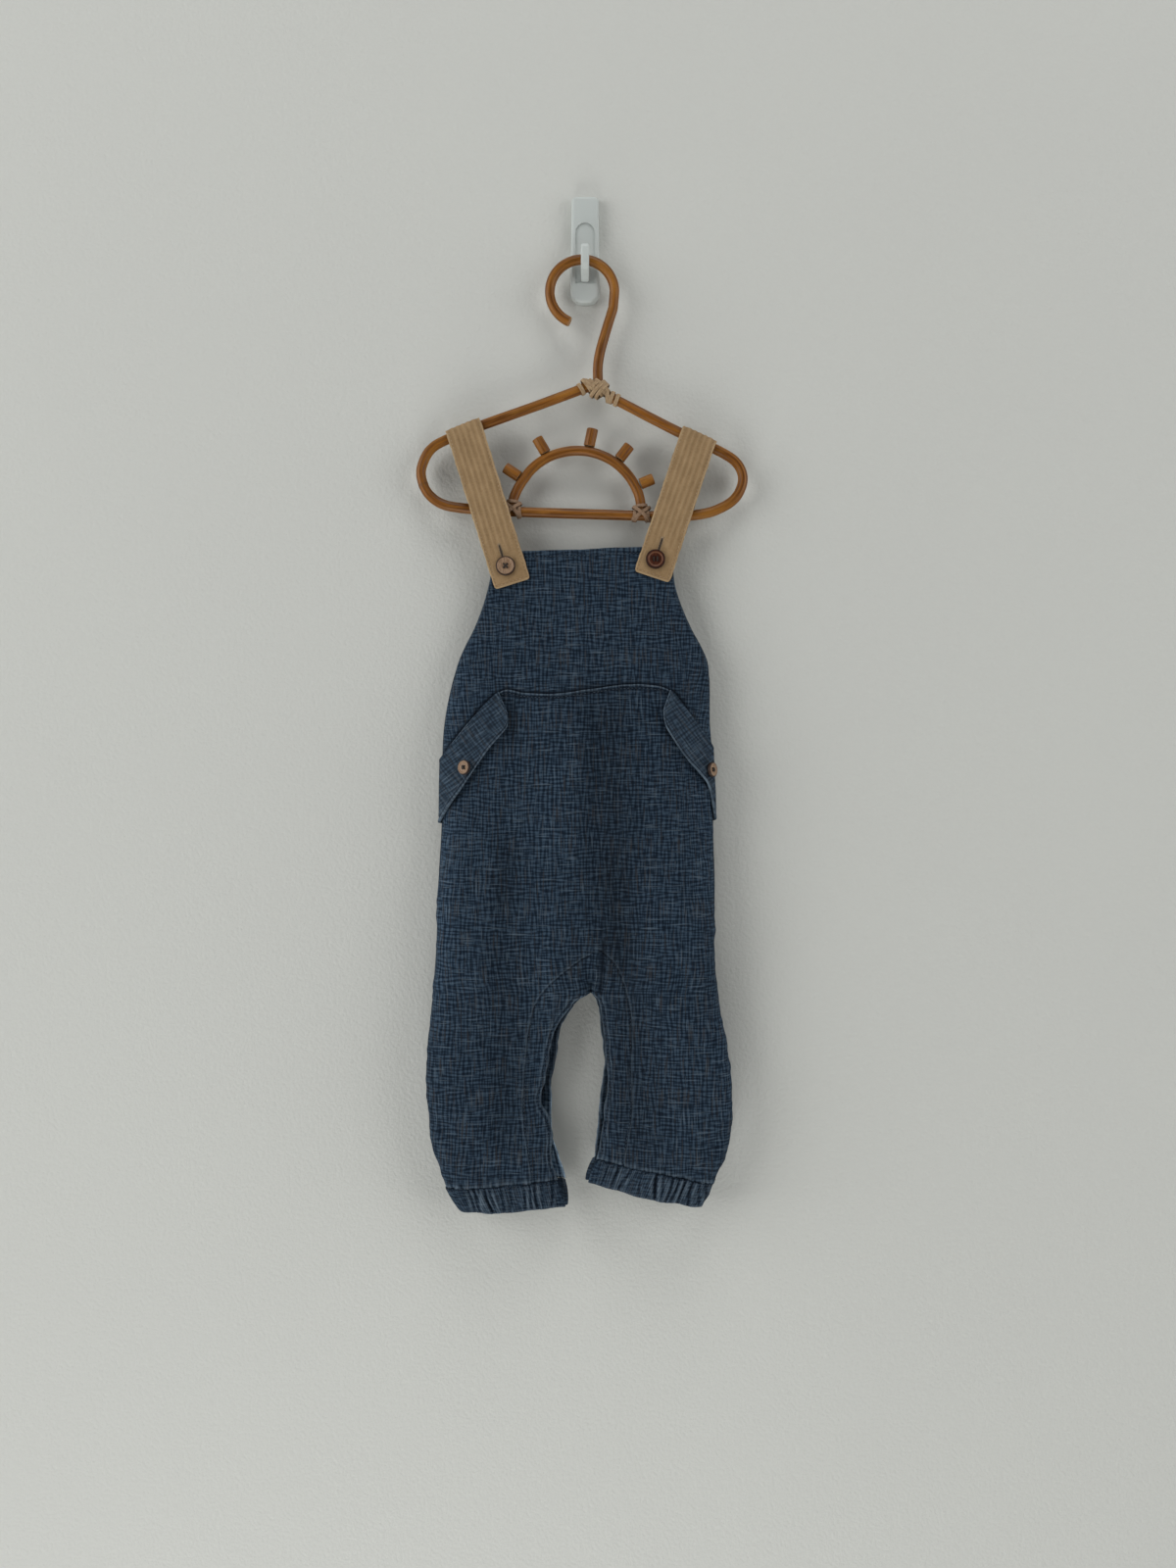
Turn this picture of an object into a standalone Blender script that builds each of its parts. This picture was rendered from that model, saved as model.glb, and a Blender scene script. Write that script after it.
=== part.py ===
# A baby's dungaree romper on a bent-cane hanger, which hangs on a wall hook.
# The wall is the plane y = 0, the romper hangs in front of it at negative y, +X is the viewer's right.
# The origin is the middle of the hook plate's back face. Tables are in millimetres, the model in metres.
import math

import bmesh
import bpy
import numpy as np
from mathutils import Matrix, Vector

MM = 0.001
SEAM_GAP = 0.3
CLOTH = 1.6
FLAP_CLOTH = 2.0
STRAP_THICK = 1.8
STRAP_WIDTH = 31.5
CANE_RADIUS = 4.25
ARC_CANE_RADIUS = 4.2
BINDING_WALL = 1.7
HANGER_Y = -15.0

# The outline and depths of the hanging garment, a row for each height.
# left, right: the outline; front, back: the outer faces at their fullest;
# side: where the faces meet at the side seam; armhole: how far each stands off that line above the underarm.
BODY_COLUMNS = ("z", "left", "right", "front", "back", "side", "armhole")
BODY_ROWS = (
    (-254, -76.0, 73.2, -24.5, -7.0, -16.2, 7.3),
    (-292, -81.5, 76.3, -28.0, -6.0, -17.0, 7.5),
    (-325, -93.0, 89.2, -33.0, -5.5, -16.8, 5.8),
    (-345, -103.4, 100.2, -37.0, -5.0, -16.2, 2.8),
    (-353, -106.8, 103.5, -38.6, -4.9, -16.1, 1.4),
    (-366, -110.8, 105.0, -40.5, -4.8, -16.0, 0.0),
    (-407, -119.0, 105.6, -45.0, -4.5, -16.5, 0.0),
    (-440, -120.8, 108.4, -47.5, -4.5, -17.0, 0.0),
    (-489, -121.0, 108.0, -50.0, -4.5, -18.0, 0.0),
    (-538, -123.6, 109.4, -50.0, -4.5, -19.0, 0.0),
    (-604, -126.0, 109.2, -49.0, -4.5, -20.0, 0.0),
    (-653, -130.0, 115.0, -48.0, -4.5, -21.0, 0.0),
    (-686, -132.6, 120.4, -47.5, -4.5, -22.0, 0.0),
    (-719, -133.0, 122.8, -47.0, -4.5, -22.5, 0.0),
    (-752, -128.6, 122.4, -45.0, -5.0, -23.0, 0.0),
    (-768, -124.8, 118.0, -43.2, -5.5, -23.0, 0.0),
    (-784, -120.4, 109.6, -41.0, -6.0, -23.0, 0.0),
    (-812, -108.0, 99.0, -40.0, -6.5, -23.0, 0.0),
)

# The inner leg edges. The back's edge peeps past the front's where the placket gapes.
INSEAM_COLUMNS = ("z", "left_front", "left_back", "right_front", "right_back")
INSEAM_ROWS = (
    (-632, 5.0, 5.0, 5.0, 5.0),
    (-637, -6.0, -3.5, 9.8, 8.8),
    (-645, -13.0, -10.5, 13.0, 11.6),
    (-656, -21.2, -18.4, 14.3, 12.6),
    (-670, -27.6, -21.6, 15.8, 14.0),
    (-692, -31.5, -25.4, 17.9, 15.4),
    (-708, -33.8, -27.6, 19.1, 14.6),
    (-724, -37.2, -27.0, 17.4, 13.3),
    (-736, -31.0, -26.8, 15.4, 12.0),
    (-752, -27.7, -26.4, 12.8, 10.2),
    (-768, -27.8, -22.0, 10.2, 8.0),
    (-790, -23.4, -17.4, 6.0, 3.4),
    (-812, -20.0, -14.0, 2.0, -1.0),
)
CROTCH_Z = -632.0
CENTRE_X = 5.0
SPLIT_STARTS = -420.0
INSEAM_FRONT_Y = -26.0
INSEAM_BACK_Y = -20.5

# Soft folds of the cloth's faces, troughs with a positive depth and ridges with a negative one.
# Each row: x and z at the top, x and z at the foot, half width, depth, face.
FOLD_ROWS = (
    (11.0, -376.0, 9.0, -622.0, 9.0, 3.5, "front"),
    (-58.0, -372.0, -64.0, -515.0, 12.0, 2.6, "front"),
    (-66.0, -530.0, -70.0, -770.0, 11.0, 3.6, "front"),
    (42.0, -560.0, 46.0, -760.0, 15.0, 2.8, "front"),
    (74.0, -606.0, 80.0, -640.0, 9.0, 2.6, "front"),
    (116.0, -744.0, 84.0, -786.0, 6.0, 2.4, "front"),
    (-60.0, -752.0, -63.0, -792.0, 6.0, 2.2, "front"),
    (-30.0, -300.0, -36.0, -372.0, 16.0, 1.6, "front"),
    (-52.0, -400.0, -66.0, -700.0, 16.0, 1.6, "back"),
    (40.0, -430.0, 62.0, -740.0, 18.0, 1.8, "back"),
)

# The seam between bib and trousers: level across the belly, then down the slanted pocket lines.
# share: the way from the side (0) to the middle (1).
POUCH_COLUMNS = ("share", "left", "right")
POUCH_ROWS = (
    (0.0, -433.0, -424.0),
    (0.14, -411.0, -407.0),
    (0.30, -386.4, -382.0),
    (0.38, -378.6, -376.8),
    (0.52, -380.2, -373.9),
    (0.72, -381.8, -374.0),
    (1.0, -377.4, -377.4),
)

# Heights of the level edges at the left side, the middle and the right side.
EDGE_COLUMNS = ("name", "left", "middle", "right")
EDGE_ROWS = (
    ("bib_top", -261.7, -258.8, -255.9),
    ("back_top", -274.0, -271.0, -272.0),
)
# Heights of the leg hems at their outer and inner ends.
HEMS = {"left": (-793.4, -788.6), "right": (-789.4, -770.8)}
BACK_INSET = 1.5
UNDERARM_Z = -366.0

# The pocket flaps: the line that each hangs from and its free edge, from the front to the side.
FLAP_COLUMNS = ("share", "top_x", "top_z", "free_x", "free_z")
FLAP_ROWS = {
    "left": (
        (0.0, -71.5, -380.2, -64.4, -398.0),
        (0.07, -75.0, -382.6, -63.9, -405.0),
        (0.12, -77.6, -385.2, -64.6, -409.6),
        (0.17, -80.2, -387.6, -67.4, -413.2),
        (0.30, -86.6, -394.4, -76.4, -424.0),
        (0.50, -95.8, -406.0, -89.4, -442.4),
        (0.70, -105.2, -417.4, -101.4, -460.4),
        (0.85, -112.8, -426.4, -111.0, -473.8),
        (1.0, -119.8, -435.4, -120.6, -489.5),
    ),
    "right": (
        (0.0, 70.4, -378.6, 64.4, -395.0),
        (0.08, 73.6, -381.0, 65.0, -404.6),
        (0.25, 80.4, -389.6, 73.0, -420.6),
        (0.45, 88.2, -400.0, 84.6, -437.4),
        (0.65, 95.6, -410.0, 93.6, -447.8),
        (0.82, 101.0, -417.2, 101.8, -459.4),
        (1.0, 105.4, -425.6, 108.0, -490.0),
    ),
}
FLAP_LIFT_TOP = 0.8
FLAP_LIFT_FREE = 2.8
FLAP_LIFT_BEND = 1.4
FLAP_SIDE_HOLD = 0.85

# The straps' middle lines from the hanger's arm to the front end.
STRAPS = {
    "left": {"arm_x": -101.6, "end": (-60.6, -289.0), "button": (-66.5, -273.9)},
    "right": {"arm_x": 94.9, "end": (56.0, -283.0), "button": (58.8, -268.7)},
}
STRAP_BACK_END_Z = -304.0
STRAP_RIBS = 5
STRAP_RIB_HEIGHT = 0.4
STRAP_PLAIN_LENGTH = 34.0
STRAP_LIFT = 0.6
STRAP_FRONT_STEPS = 15
# Points across a strap at which it must clear the cloth under it.
STRAP_PROBES = (-15.7, -8.0, 0.0, 8.0, 15.7)
# Depths (z, y) of the strap's back run between the hanger's arm and the back panel.
STRAP_BACK_DROP = ((-196.0, -8.2), (-226.0, -7.0))

# How far each cuff falls and leans, at its outer and at its inner end.
CUFF_FALL = {"left": (17.6, 22.4), "right": (19.6, 17.4)}
CUFF_SWAY = {"left": (8.6, 3.4), "right": (-8.6, -7.0)}
CUFF_WALL = 2.2
CUFF_GATHERS = 26
CUFF_GATHER_HEIGHT = 1.1
CUFF_PUFF = 1.0

# The buttons: diameter and the place of each, on a strap or at a share across and down its flap.
STRAP_BUTTON = {"diameter": 16.3, "thick": 2.8, "rim": 1.5, "hole": 1.9, "spread": 2.1}
HIP_BUTTON = {"diameter": 12.3, "thick": 2.4, "rim": 1.2, "hole": 1.5, "spread": 1.6}
HIP_BUTTON_PLACES = {"left": (0.62, 0.75), "right": (0.86, 0.56)}
# Each hip button leans to its side on its thread, by these degrees, and stands off the flap as far as that needs.
HIP_BUTTON_LEAN = {"left": -20.0, "right": 13.0}
HIP_BUTTON_STAND = {"left": 1.6, "right": 0.8}

# The hanger's cane, all in the plane y = HANGER_Y.
CROOK_CENTRE = (-2.5, -39.7)
CROOK_RADIUS = 27.4
CROOK_TIP_DEGREES = 248.6
CROOK_NECK = ((23.7, -53.6), (17.9, -72.2), (12.7, -90.9), (10.8, -104.8), (11.4, -122.0))
FRAME_ROUTE = (
    (4.0, -119.5), (-40.0, -135.8), (-87.0, -152.6), (-116.0, -164.2), (-130.0, -172.4), (-137.0, -184.0),
    (-138.8, -195.6), (-133.5, -209.6), (-121.9, -218.9), (-105.6, -222.6), (-80.0, -224.6),
    (-52.0, -226.2), (0.0, -227.8), (45.0, -229.2), (72.0, -229.7), (90.1, -229.0), (108.7, -225.4),
    (125.0, -216.5), (132.4, -204.9), (133.1, -193.6), (126.2, -182.4), (108.7, -172.0),
    (77.2, -157.4), (29.5, -132.8), (20.6, -128.3),
)
# The sun's arc, from its left foot to its right one.
ARC_ROUTE = (
    (-61.2, -221.0), (-61.0, -217.0), (-59.7, -212.4), (-56.7, -205.8), (-51.9, -198.2), (-45.2, -189.8),
    (-36.7, -182.9), (-27.1, -177.9), (-15.7, -174.9), (-6.2, -174.2), (3.3, -175.0), (12.9, -177.7),
    (22.4, -182.2), (30.0, -187.9), (36.9, -195.3), (41.7, -202.9), (45.2, -210.6), (47.0, -218.0),
    (47.4, -224.6),
)
# The sun's rays: the middle (x, z) of each outer end, the direction in degrees and the length.
RAYS = (
    (-67.7, -188.4, 146.5, 14.1),
    (-40.6, -163.8, 120.7, 14.0),
    (6.4, -155.9, 78.5, 14.7),
    (37.6, -170.0, 52.7, 14.1),
    (57.6, -197.9, 22.7, 11.5),
)
RAY_RADIUS = 4.75

# The hanger's arms lie above this height and its bar below it.
ARMS_ABOVE_Z = -200.0
# The neck's windings: how far the sleeves reach along the arms, and how far the canes' own room does.
NECK_SLEEVE_X = (-9.0, 34.0)
NECK_ROOM_X = (-30.0, 52.0)
ARC_SLEEVE_REACH = 9.0
ARC_ROOM_REACH = 24.0
# How far the winding's sleeve and the arc's room rise from the arc's foot, and how far they start below it.
ARC_SLEEVE_RISE = 6.5
ARC_ROOM_RISE = 22.0
ARC_SINK = 5.5

HOOK_TOP = 44.5
HOOK_FOOT = -46.2
HOOK_TOP_WIDTH = 23.2
HOOK_WIDTH = 25.2
HOOK_THICK = 8.0
HOOK_ARCH = {"width": 16.6, "top": 22.0, "foot": -30.0, "depth": 1.2}
PRONG_WIDTH = 6.9
# The prong's side outline as (y, z), from its root over the saddle to the tip and back below.
PRONG_OUTLINE = (
    (-8.3, -15.0), (-10.2, -16.6), (-13.0, -17.5), (-15.0, -17.6), (-17.8, -17.0), (-19.9, -14.8),
    (-20.7, -10.5), (-20.8, -4.6), (-21.6, -2.6), (-23.2, -1.9), (-24.8, -2.6), (-25.5, -4.8),
    (-25.4, -13.0), (-24.3, -18.6), (-21.3, -22.6), (-17.0, -24.6), (-12.5, -26.0), (-8.3, -29.0),
)

COLOURS = {
    "chambray": ((0.033, 0.055, 0.078), 0.85),
    "flap chambray": ((0.045, 0.066, 0.092), 0.85),
    "buff twill": ((0.30, 0.215, 0.125), 0.85),
    "cane": ((0.21, 0.095, 0.032), 0.42),
    "binding": ((0.33, 0.22, 0.12), 0.6),
    "white plastic": ((0.55, 0.60, 0.59), 0.35),
    "coconut": ((0.16, 0.085, 0.045), 0.45),
    "dark coconut": ((0.07, 0.028, 0.015), 0.35),
}


def column(columns, rows, name):
    place = columns.index(name)
    return [row[place] for row in rows]


def smooth(stations, values, at):
    """A cubic through the values at rising stations, held at its first and last value outside them."""
    s, v = np.asarray(stations, float), np.asarray(values, float)
    if s[0] > s[-1]:
        s, v = s[::-1], v[::-1]
    at = float(np.clip(at, s[0], s[-1]))
    slopes = np.gradient(v, s)
    i = int(np.clip(np.searchsorted(s, at) - 1, 0, len(s) - 2))
    step = s[i + 1] - s[i]
    u = (at - s[i]) / step
    rise = v[i + 1] - v[i]
    a, b = slopes[i] * step - rise, rise - slopes[i + 1] * step
    return v[i] + u * rise + u * (1 - u) * (a * (1 - u) + b * u)


def body_size(name, z):
    return smooth(column(BODY_COLUMNS, BODY_ROWS, "z"), column(BODY_COLUMNS, BODY_ROWS, name), z)


def inseam(side, face, z):
    if z >= CROTCH_Z:
        return CENTRE_X
    stations = column(INSEAM_COLUMNS, INSEAM_ROWS, "z")
    return smooth(stations, column(INSEAM_COLUMNS, INSEAM_ROWS, f"{side}_{face}"), z)


def ramp(value, start, end):
    u = min(max((value - start) / (end - start), 0.0), 1.0)
    return u * u * (3 - 2 * u)


def fold_depth(face, x, z):
    """How far the soft folds push the cloth in at one place of a face."""
    total = 0.0
    for x_top, z_top, x_foot, z_foot, width, depth, where in FOLD_ROWS:
        if where != face:
            continue
        along = (z_top - z) / (z_top - z_foot)
        if not -0.25 < along < 1.25:
            continue
        fade = ramp(along, -0.25, 0.2) * ramp(along, 1.25, 0.8)
        across = (x - x_top - (x_foot - x_top) * along) / width
        total += depth * fade * math.exp(-across * across)
    return total


def side_outline(side, face, z):
    x = body_size(side, z)
    if face == "back":
        inset = BACK_INSET * ramp(z, UNDERARM_Z, UNDERARM_Z + 30)
        x += inset if side == "left" else -inset
    return x


def surface(side, face, t, z):
    """The outer face of one half: t is 0 at the side and 1 at the middle or the inner leg edge."""
    outer_x, inner_x = side_outline(side, face, z), inseam(side, face, z)
    x = outer_x + (inner_x - outer_x) * (1 - math.cos(math.pi * t / 2))
    full, apart = body_size(face, z), max(body_size("armhole", z), 0.0) + SEAM_GAP / 2
    edge = body_size("side", z) + (-apart if face == "front" else apart)
    inner_y = INSEAM_FRONT_Y if face == "front" else INSEAM_BACK_Y
    split = ramp(z, SPLIT_STARTS, CROTCH_Z)
    whole_body = edge + (full - edge) * math.sin(math.pi * t / 2) ** 0.7
    bulge = max(math.sin(math.pi * t ** 0.9), 0.0) ** 0.62
    leg = edge + (inner_y - edge) * t + (full - (edge + inner_y) / 2) * bulge
    inward = 1 if face == "front" else -1
    rim = min(1.0, 4 * t) * (1 - split * ramp(t, 0.8, 1.0))
    y = (1 - split) * whole_body + split * leg + inward * fold_depth(face, x, z) * rim
    return np.array((x, y, z))


def outward(side, face, t, z):
    step = 1e-3
    across = surface(side, face, min(t + step, 1), z) - surface(side, face, max(t - step, 0), z)
    up = surface(side, face, t, z + 0.5) - surface(side, face, t, z - 0.5)
    normal = np.cross(across, up)
    if (side, face) in (("right", "front"), ("left", "back")):
        normal = -normal
    return normal / np.linalg.norm(normal)


def share_across(side, face, x, z):
    """The t of a place given by its x."""
    outer_x, inner_x = side_outline(side, face, z), inseam(side, face, z)
    share = min(max((x - outer_x) / (inner_x - outer_x), 0.0), 1.0)
    return 2 / math.pi * math.acos(1 - share)


def half_share(t):
    return 1 - math.cos(math.pi * t / 2)


def pouch_seam(side, t):
    stations = column(POUCH_COLUMNS, POUCH_ROWS, "share")
    return smooth(stations, column(POUCH_COLUMNS, POUCH_ROWS, side), half_share(t))


def level_edge(name):
    row = next(row for row in EDGE_ROWS if row[0] == name)

    def height(side, t):
        at_side, middle = row[EDGE_COLUMNS.index(side)], row[EDGE_COLUMNS.index("middle")]
        return at_side + (middle - at_side) * half_share(t)
    return height


def hem(side, t):
    outer, inner = HEMS[side]
    return outer + (inner - outer) * half_share(t)


def material(name):
    known = bpy.data.materials.get(name)
    if known:
        return known
    made = bpy.data.materials.new(name)
    made.use_nodes = True
    colour, roughness = COLOURS[name]
    shader = made.node_tree.nodes["Principled BSDF"]
    shader.inputs["Base Color"].default_value = (*colour, 1)
    shader.inputs["Roughness"].default_value = roughness
    shader.inputs["Metallic"].default_value = 0.0
    made.diffuse_color = (*colour, 1)
    return made


def add_object(name, mesh_builder, finish, sharp_degrees=50):
    bmesh.ops.recalc_face_normals(mesh_builder, faces=mesh_builder.faces)
    mesh = bpy.data.meshes.new(name)
    mesh_builder.to_mesh(mesh)
    mesh_builder.free()
    mesh.shade_smooth()
    mesh.set_sharp_from_angle(angle=math.radians(sharp_degrees))
    made = bpy.data.objects.new(name, mesh)
    bpy.context.collection.objects.link(made)
    if finish:
        mesh.materials.append(material(finish))
    return made


def closed_wall(name, cells, outer, inner, finish):
    """A wall of cloth: its outer and inner faces over the same cells, and a rim round every open edge."""
    made = bmesh.new()
    points = {"outer": outer, "inner": inner}
    verts = {(side, key): made.verts.new(Vector(place) * MM)
             for side, places in points.items() for key, place in places.items()}
    edges = set()
    for cell in cells:
        made.faces.new([verts["outer", key] for key in cell])
        made.faces.new([verts["inner", key] for key in reversed(cell)])
        edges.update(zip(cell, cell[1:] + cell[:1]))
    for a, b in sorted(edges, key=str):
        if (b, a) not in edges:
            made.faces.new((verts["outer", b], verts["outer", a], verts["inner", a], verts["inner", b]))
    return add_object(name, made, finish)


def panel(name, face, shares, rows, crotch_row=None):
    """A panel over both halves. rows hold a height function each; below crotch_row the halves part."""
    outer, normals, cells = {}, {}, []

    def key_of(side, i, j):
        merged = shares[j] == 1.0 and (crotch_row is None or i <= crotch_row)
        return ("middle", i, 0) if merged else (side, i, j)

    for side in ("left", "right"):
        for i, height in enumerate(rows):
            for j, t in enumerate(shares):
                z = height(side, t)
                key = key_of(side, i, j)
                outer[key] = surface(side, face, t, z)
                normals.setdefault(key, []).append(outward(side, face, t, z))
        for i in range(len(rows) - 1):
            for j in range(len(shares) - 1):
                ring = [key_of(side, a, b) for a, b in ((i, j), (i, j + 1), (i + 1, j + 1), (i + 1, j))]
                cells.append(ring if side == "left" else ring[::-1])
    inner = {}
    for key, found in normals.items():
        mean = np.mean(found, axis=0)
        inner[key] = outer[key] - CLOTH * mean / np.linalg.norm(mean)
    return closed_wall(name, cells, outer, inner, "chambray")


def between(above, below, share):
    """A height that lies at a share of the way from one edge to the next."""
    return lambda side, t: above(side, t) + (below(side, t) - above(side, t)) * share


def shifted(edge, rise):
    return lambda side, t: edge(side, t) + rise


def crotch_line(side, t):
    return CROTCH_Z


def even(count):
    return [i / count for i in range(count + 1)]


def leg_rows(top, rows_above):
    """Rows from an upper edge to the crotch, then close ones round its arch and on to the hem."""
    arch = (0.03, 0.075, 0.14, 0.22, 0.32, 0.43, 0.54, 0.65, 0.76, 0.88, 1.0)
    above = [between(top, crotch_line, share) for share in even(rows_above)]
    return above + [between(crotch_line, hem, share) for share in arch], rows_above


def make_panels():
    shares = [0.0, 0.06, 0.14, 0.23, 0.33, 0.43, 0.53, 0.63, 0.73, 0.82, 0.91, 1.0]
    bib_foot = shifted(pouch_seam, SEAM_GAP / 2)
    bib_rows = [between(level_edge("bib_top"), bib_foot, share) for share in even(9)]
    panel("bib_front", "front", shares, bib_rows)
    rows, crotch_row = leg_rows(shifted(pouch_seam, -SEAM_GAP / 2), 9)
    panel("trouser_front", "front", shares, rows, crotch_row)
    rows, crotch_row = leg_rows(level_edge("back_top"), 13)
    panel("back", "back", shares, rows, crotch_row)


def flap_point(side, across, down, lift):
    stations = column(FLAP_COLUMNS, FLAP_ROWS[side], "share")
    x_top, z_top, x_free, z_free = (
        smooth(stations, column(FLAP_COLUMNS, FLAP_ROWS[side], name), across)
        for name in FLAP_COLUMNS[1:])
    x, z = x_top + (x_free - x_top) * down, z_top + (z_free - z_top) * down
    t = share_across(side, "front", x, z)
    free = 1 - FLAP_SIDE_HOLD * ramp(across, 0.55, 1.0)
    stand_off = FLAP_LIFT_TOP + (FLAP_LIFT_FREE - FLAP_LIFT_TOP) * free * down ** FLAP_LIFT_BEND
    normal = outward(side, "front", t, z)
    return surface(side, "front", t, z) + normal * (stand_off + lift), normal


def make_flap(side):
    across_shares = (0.0, 0.07, 0.12, 0.17, 0.3, 0.45, 0.58, 0.7, 0.8, 0.88, 0.94, 0.98, 1.0)
    across_steps, down_steps = len(across_shares) - 1, 5
    outer, inner, cells = {}, {}, []
    for i, across in enumerate(across_shares):
        for j, down in enumerate(even(down_steps)):
            outer[i, j] = flap_point(side, across, down, FLAP_CLOTH)[0]
            inner[i, j] = flap_point(side, across, down, 0.0)[0]
    for i in range(across_steps):
        for j in range(down_steps):
            cells.append([(i, j), (i + 1, j), (i + 1, j + 1), (i, j + 1)])
    closed_wall(f"flap_{side}", cells, outer, inner, "flap chambray")


def cuff_path(side, count):
    """Places round a leg's hem, from the front's inner edge over the side to the back's inner edge."""
    fine = 240
    shares = [("front", 1 - i / fine) for i in range(fine)] + [("back", i / fine) for i in range(fine + 1)]
    points = np.array([surface(side, face, t, hem(side, t)) for face, t in shares])
    length = np.concatenate(([0], np.cumsum(np.linalg.norm(np.diff(points, axis=0), axis=1))))
    at = np.linspace(0, length[-1], count + 1)
    places = np.stack([np.interp(at, length, points[:, axis]) for axis in range(3)], axis=1)
    along = np.gradient(places, axis=0)
    normals = np.stack((along[:, 1], -along[:, 0], np.zeros(len(places))), axis=1)
    normals /= np.linalg.norm(normals, axis=1)[:, None]
    return places, normals if side == "right" else -normals


def make_cuff(side):
    steps = 4 * CUFF_GATHERS
    rows = (0.0, 0.5, 1.0)
    places, normals = cuff_path(side, steps)
    ends = places[np.argmax(np.abs(places[:, 0] - CENTRE_X))][0], places[0][0]
    outer, inner, cells = {}, {}, []
    for i, (place, normal) in enumerate(zip(places, normals)):
        ridge = 0.5 - 0.5 * math.cos(2 * math.pi * CUFF_GATHERS * i / steps)
        inward = (place[0] - ends[0]) / (ends[1] - ends[0])
        sway, drop = (pair[side][0] + (pair[side][1] - pair[side][0]) * inward
                      for pair in (CUFF_SWAY, CUFF_FALL))
        fall = np.array((sway, 0, -drop))
        for j, down in enumerate(rows):
            start = place + fall * down - np.array((0, 0, SEAM_GAP))
            puff = CUFF_PUFF * math.sin(math.pi * down)
            outer[i, j] = start + normal * (puff + CUFF_GATHER_HEIGHT * ridge)
            inner[i, j] = start - normal * (CUFF_WALL - puff)
    for i in range(steps):
        for j in range(len(rows) - 1):
            cells.append([(i, j), (i + 1, j), (i + 1, j + 1), (i, j + 1)])
    closed_wall(f"cuff_{side}", cells, outer, inner, "chambray")


def strap_frame(side):
    """The strap's ends, its run, and its width directions: square to the run, and along the arm."""
    spec = STRAPS[side]
    upper = np.array([p for p in smooth_route(FRAME_ROUTE, 8) if p[1] > -180])
    upper = upper[np.argsort(upper[:, 0])]
    reach = STRAP_WIDTH / 2 * 0.9
    x = spec["arm_x"]
    low, middle, high = (np.array((at, np.interp(at, upper[:, 0], upper[:, 1])))
                         for at in (x - reach, x, x + reach))
    ahead = (high - low) / np.linalg.norm(high - low)
    arm, end = middle, np.array(spec["end"])
    run = (end - arm) / np.linalg.norm(end - arm)
    return arm, end, run, np.array((-run[1], run[0])), ahead


def face_y(side, face, x, z):
    return surface(side, face, share_across(side, face, x, z), z)[1]


def strap_stations(side):
    """Middle points, width directions and outward directions along the strap, front end first."""
    arm, end, run, square, ahead = strap_frame(side)
    half = STRAP_THICK / 2
    wrap = CANE_RADIUS + STRAP_LIFT + half
    length = np.linalg.norm(end - arm)
    bib_top = level_edge("bib_top")(side, 0.5)
    top_y = HANGER_Y - wrap
    lift_y = min(face_y(side, "front", end[0] - run[0] * 24 + square[0] * w, bib_top)
                 for w in (-10, 0, 10, 15)) - STRAP_LIFT - half
    stations = []
    for share in np.linspace(1.0, 0.055, STRAP_FRONT_STEPS):
        middle = arm + run * length * share
        if middle[1] < bib_top:
            y = min(face_y(side, "front", middle[0] + square[0] * w, middle[1] + square[1] * w)
                    for w in STRAP_PROBES) - STRAP_LIFT - half
            y = min(y, lift_y)
        else:
            up = (middle[1] - bib_top) / (arm[1] - bib_top)
            y = lift_y + (top_y - lift_y) * up
        blend = ramp(share, 0.45, 0.0)
        width = square + (ahead - square) * blend
        stations.append((np.array((middle[0], y, middle[1])), width, np.array((0, -1, 0))))
    rise = np.array((-ahead[1], ahead[0]))
    for degrees in (20, 50, 80, 100, 130, 160):
        angle = math.radians(degrees)
        way = np.array((rise[0] * math.sin(angle), -math.cos(angle), rise[1] * math.sin(angle)))
        centre = np.array((arm[0], HANGER_Y, arm[1]))
        stations.append((centre + way * wrap, ahead, way))
    back_ys = [(-168, HANGER_Y + wrap), *STRAP_BACK_DROP]
    for z in (-266, -285, STRAP_BACK_END_Z):
        middle_x = arm[0] + run[0] * (z - arm[1]) / run[1]
        nearest = min(face_y(side, "back", middle_x + w, z) for w in STRAP_PROBES)
        back_ys.append((z, nearest - CLOTH - STRAP_LIFT - half))
    for z in np.linspace(-172, STRAP_BACK_END_Z, 9):
        middle = arm + run * ((z - arm[1]) / run[1])
        y = smooth([row[0] for row in back_ys], [row[1] for row in back_ys], z)
        blend = ramp(z, -220, -165)
        stations.append((np.array((middle[0], y, z)), square + (ahead - square) * blend,
                         np.array((0, 1, 0))))
    return stations


def make_strap(side):
    stations = strap_stations(side)
    across_steps = 2 * STRAP_RIBS
    centres = np.array([station[0] for station in stations])
    run = np.concatenate(([0], np.cumsum(np.linalg.norm(np.diff(centres, axis=0), axis=1))))
    outer, inner, cells = {}, {}, []
    for i, (centre, width, way) in enumerate(stations):
        ribbed = ramp(run[i], STRAP_PLAIN_LENGTH * 0.6, STRAP_PLAIN_LENGTH * 1.6)
        ribbed *= ramp(run[-1] - run[i], 0, STRAP_PLAIN_LENGTH)
        width = np.array((width[0], 0, width[1])) / np.linalg.norm(width)
        for j in range(across_steps + 1):
            place = centre + width * STRAP_WIDTH * (j / across_steps - 0.5)
            rib = STRAP_RIB_HEIGHT * ribbed if j % 2 else 0.0
            outer[i, j] = place + way * (STRAP_THICK / 2 + rib)
            inner[i, j] = place - way * STRAP_THICK / 2
    for i in range(len(stations) - 1):
        for j in range(across_steps):
            cells.append([(i, j), (i + 1, j), (i + 1, j + 1), (i, j + 1)])
    closed_wall(f"strap_{side}", cells, outer, inner, "buff twill")
    return stations


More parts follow.
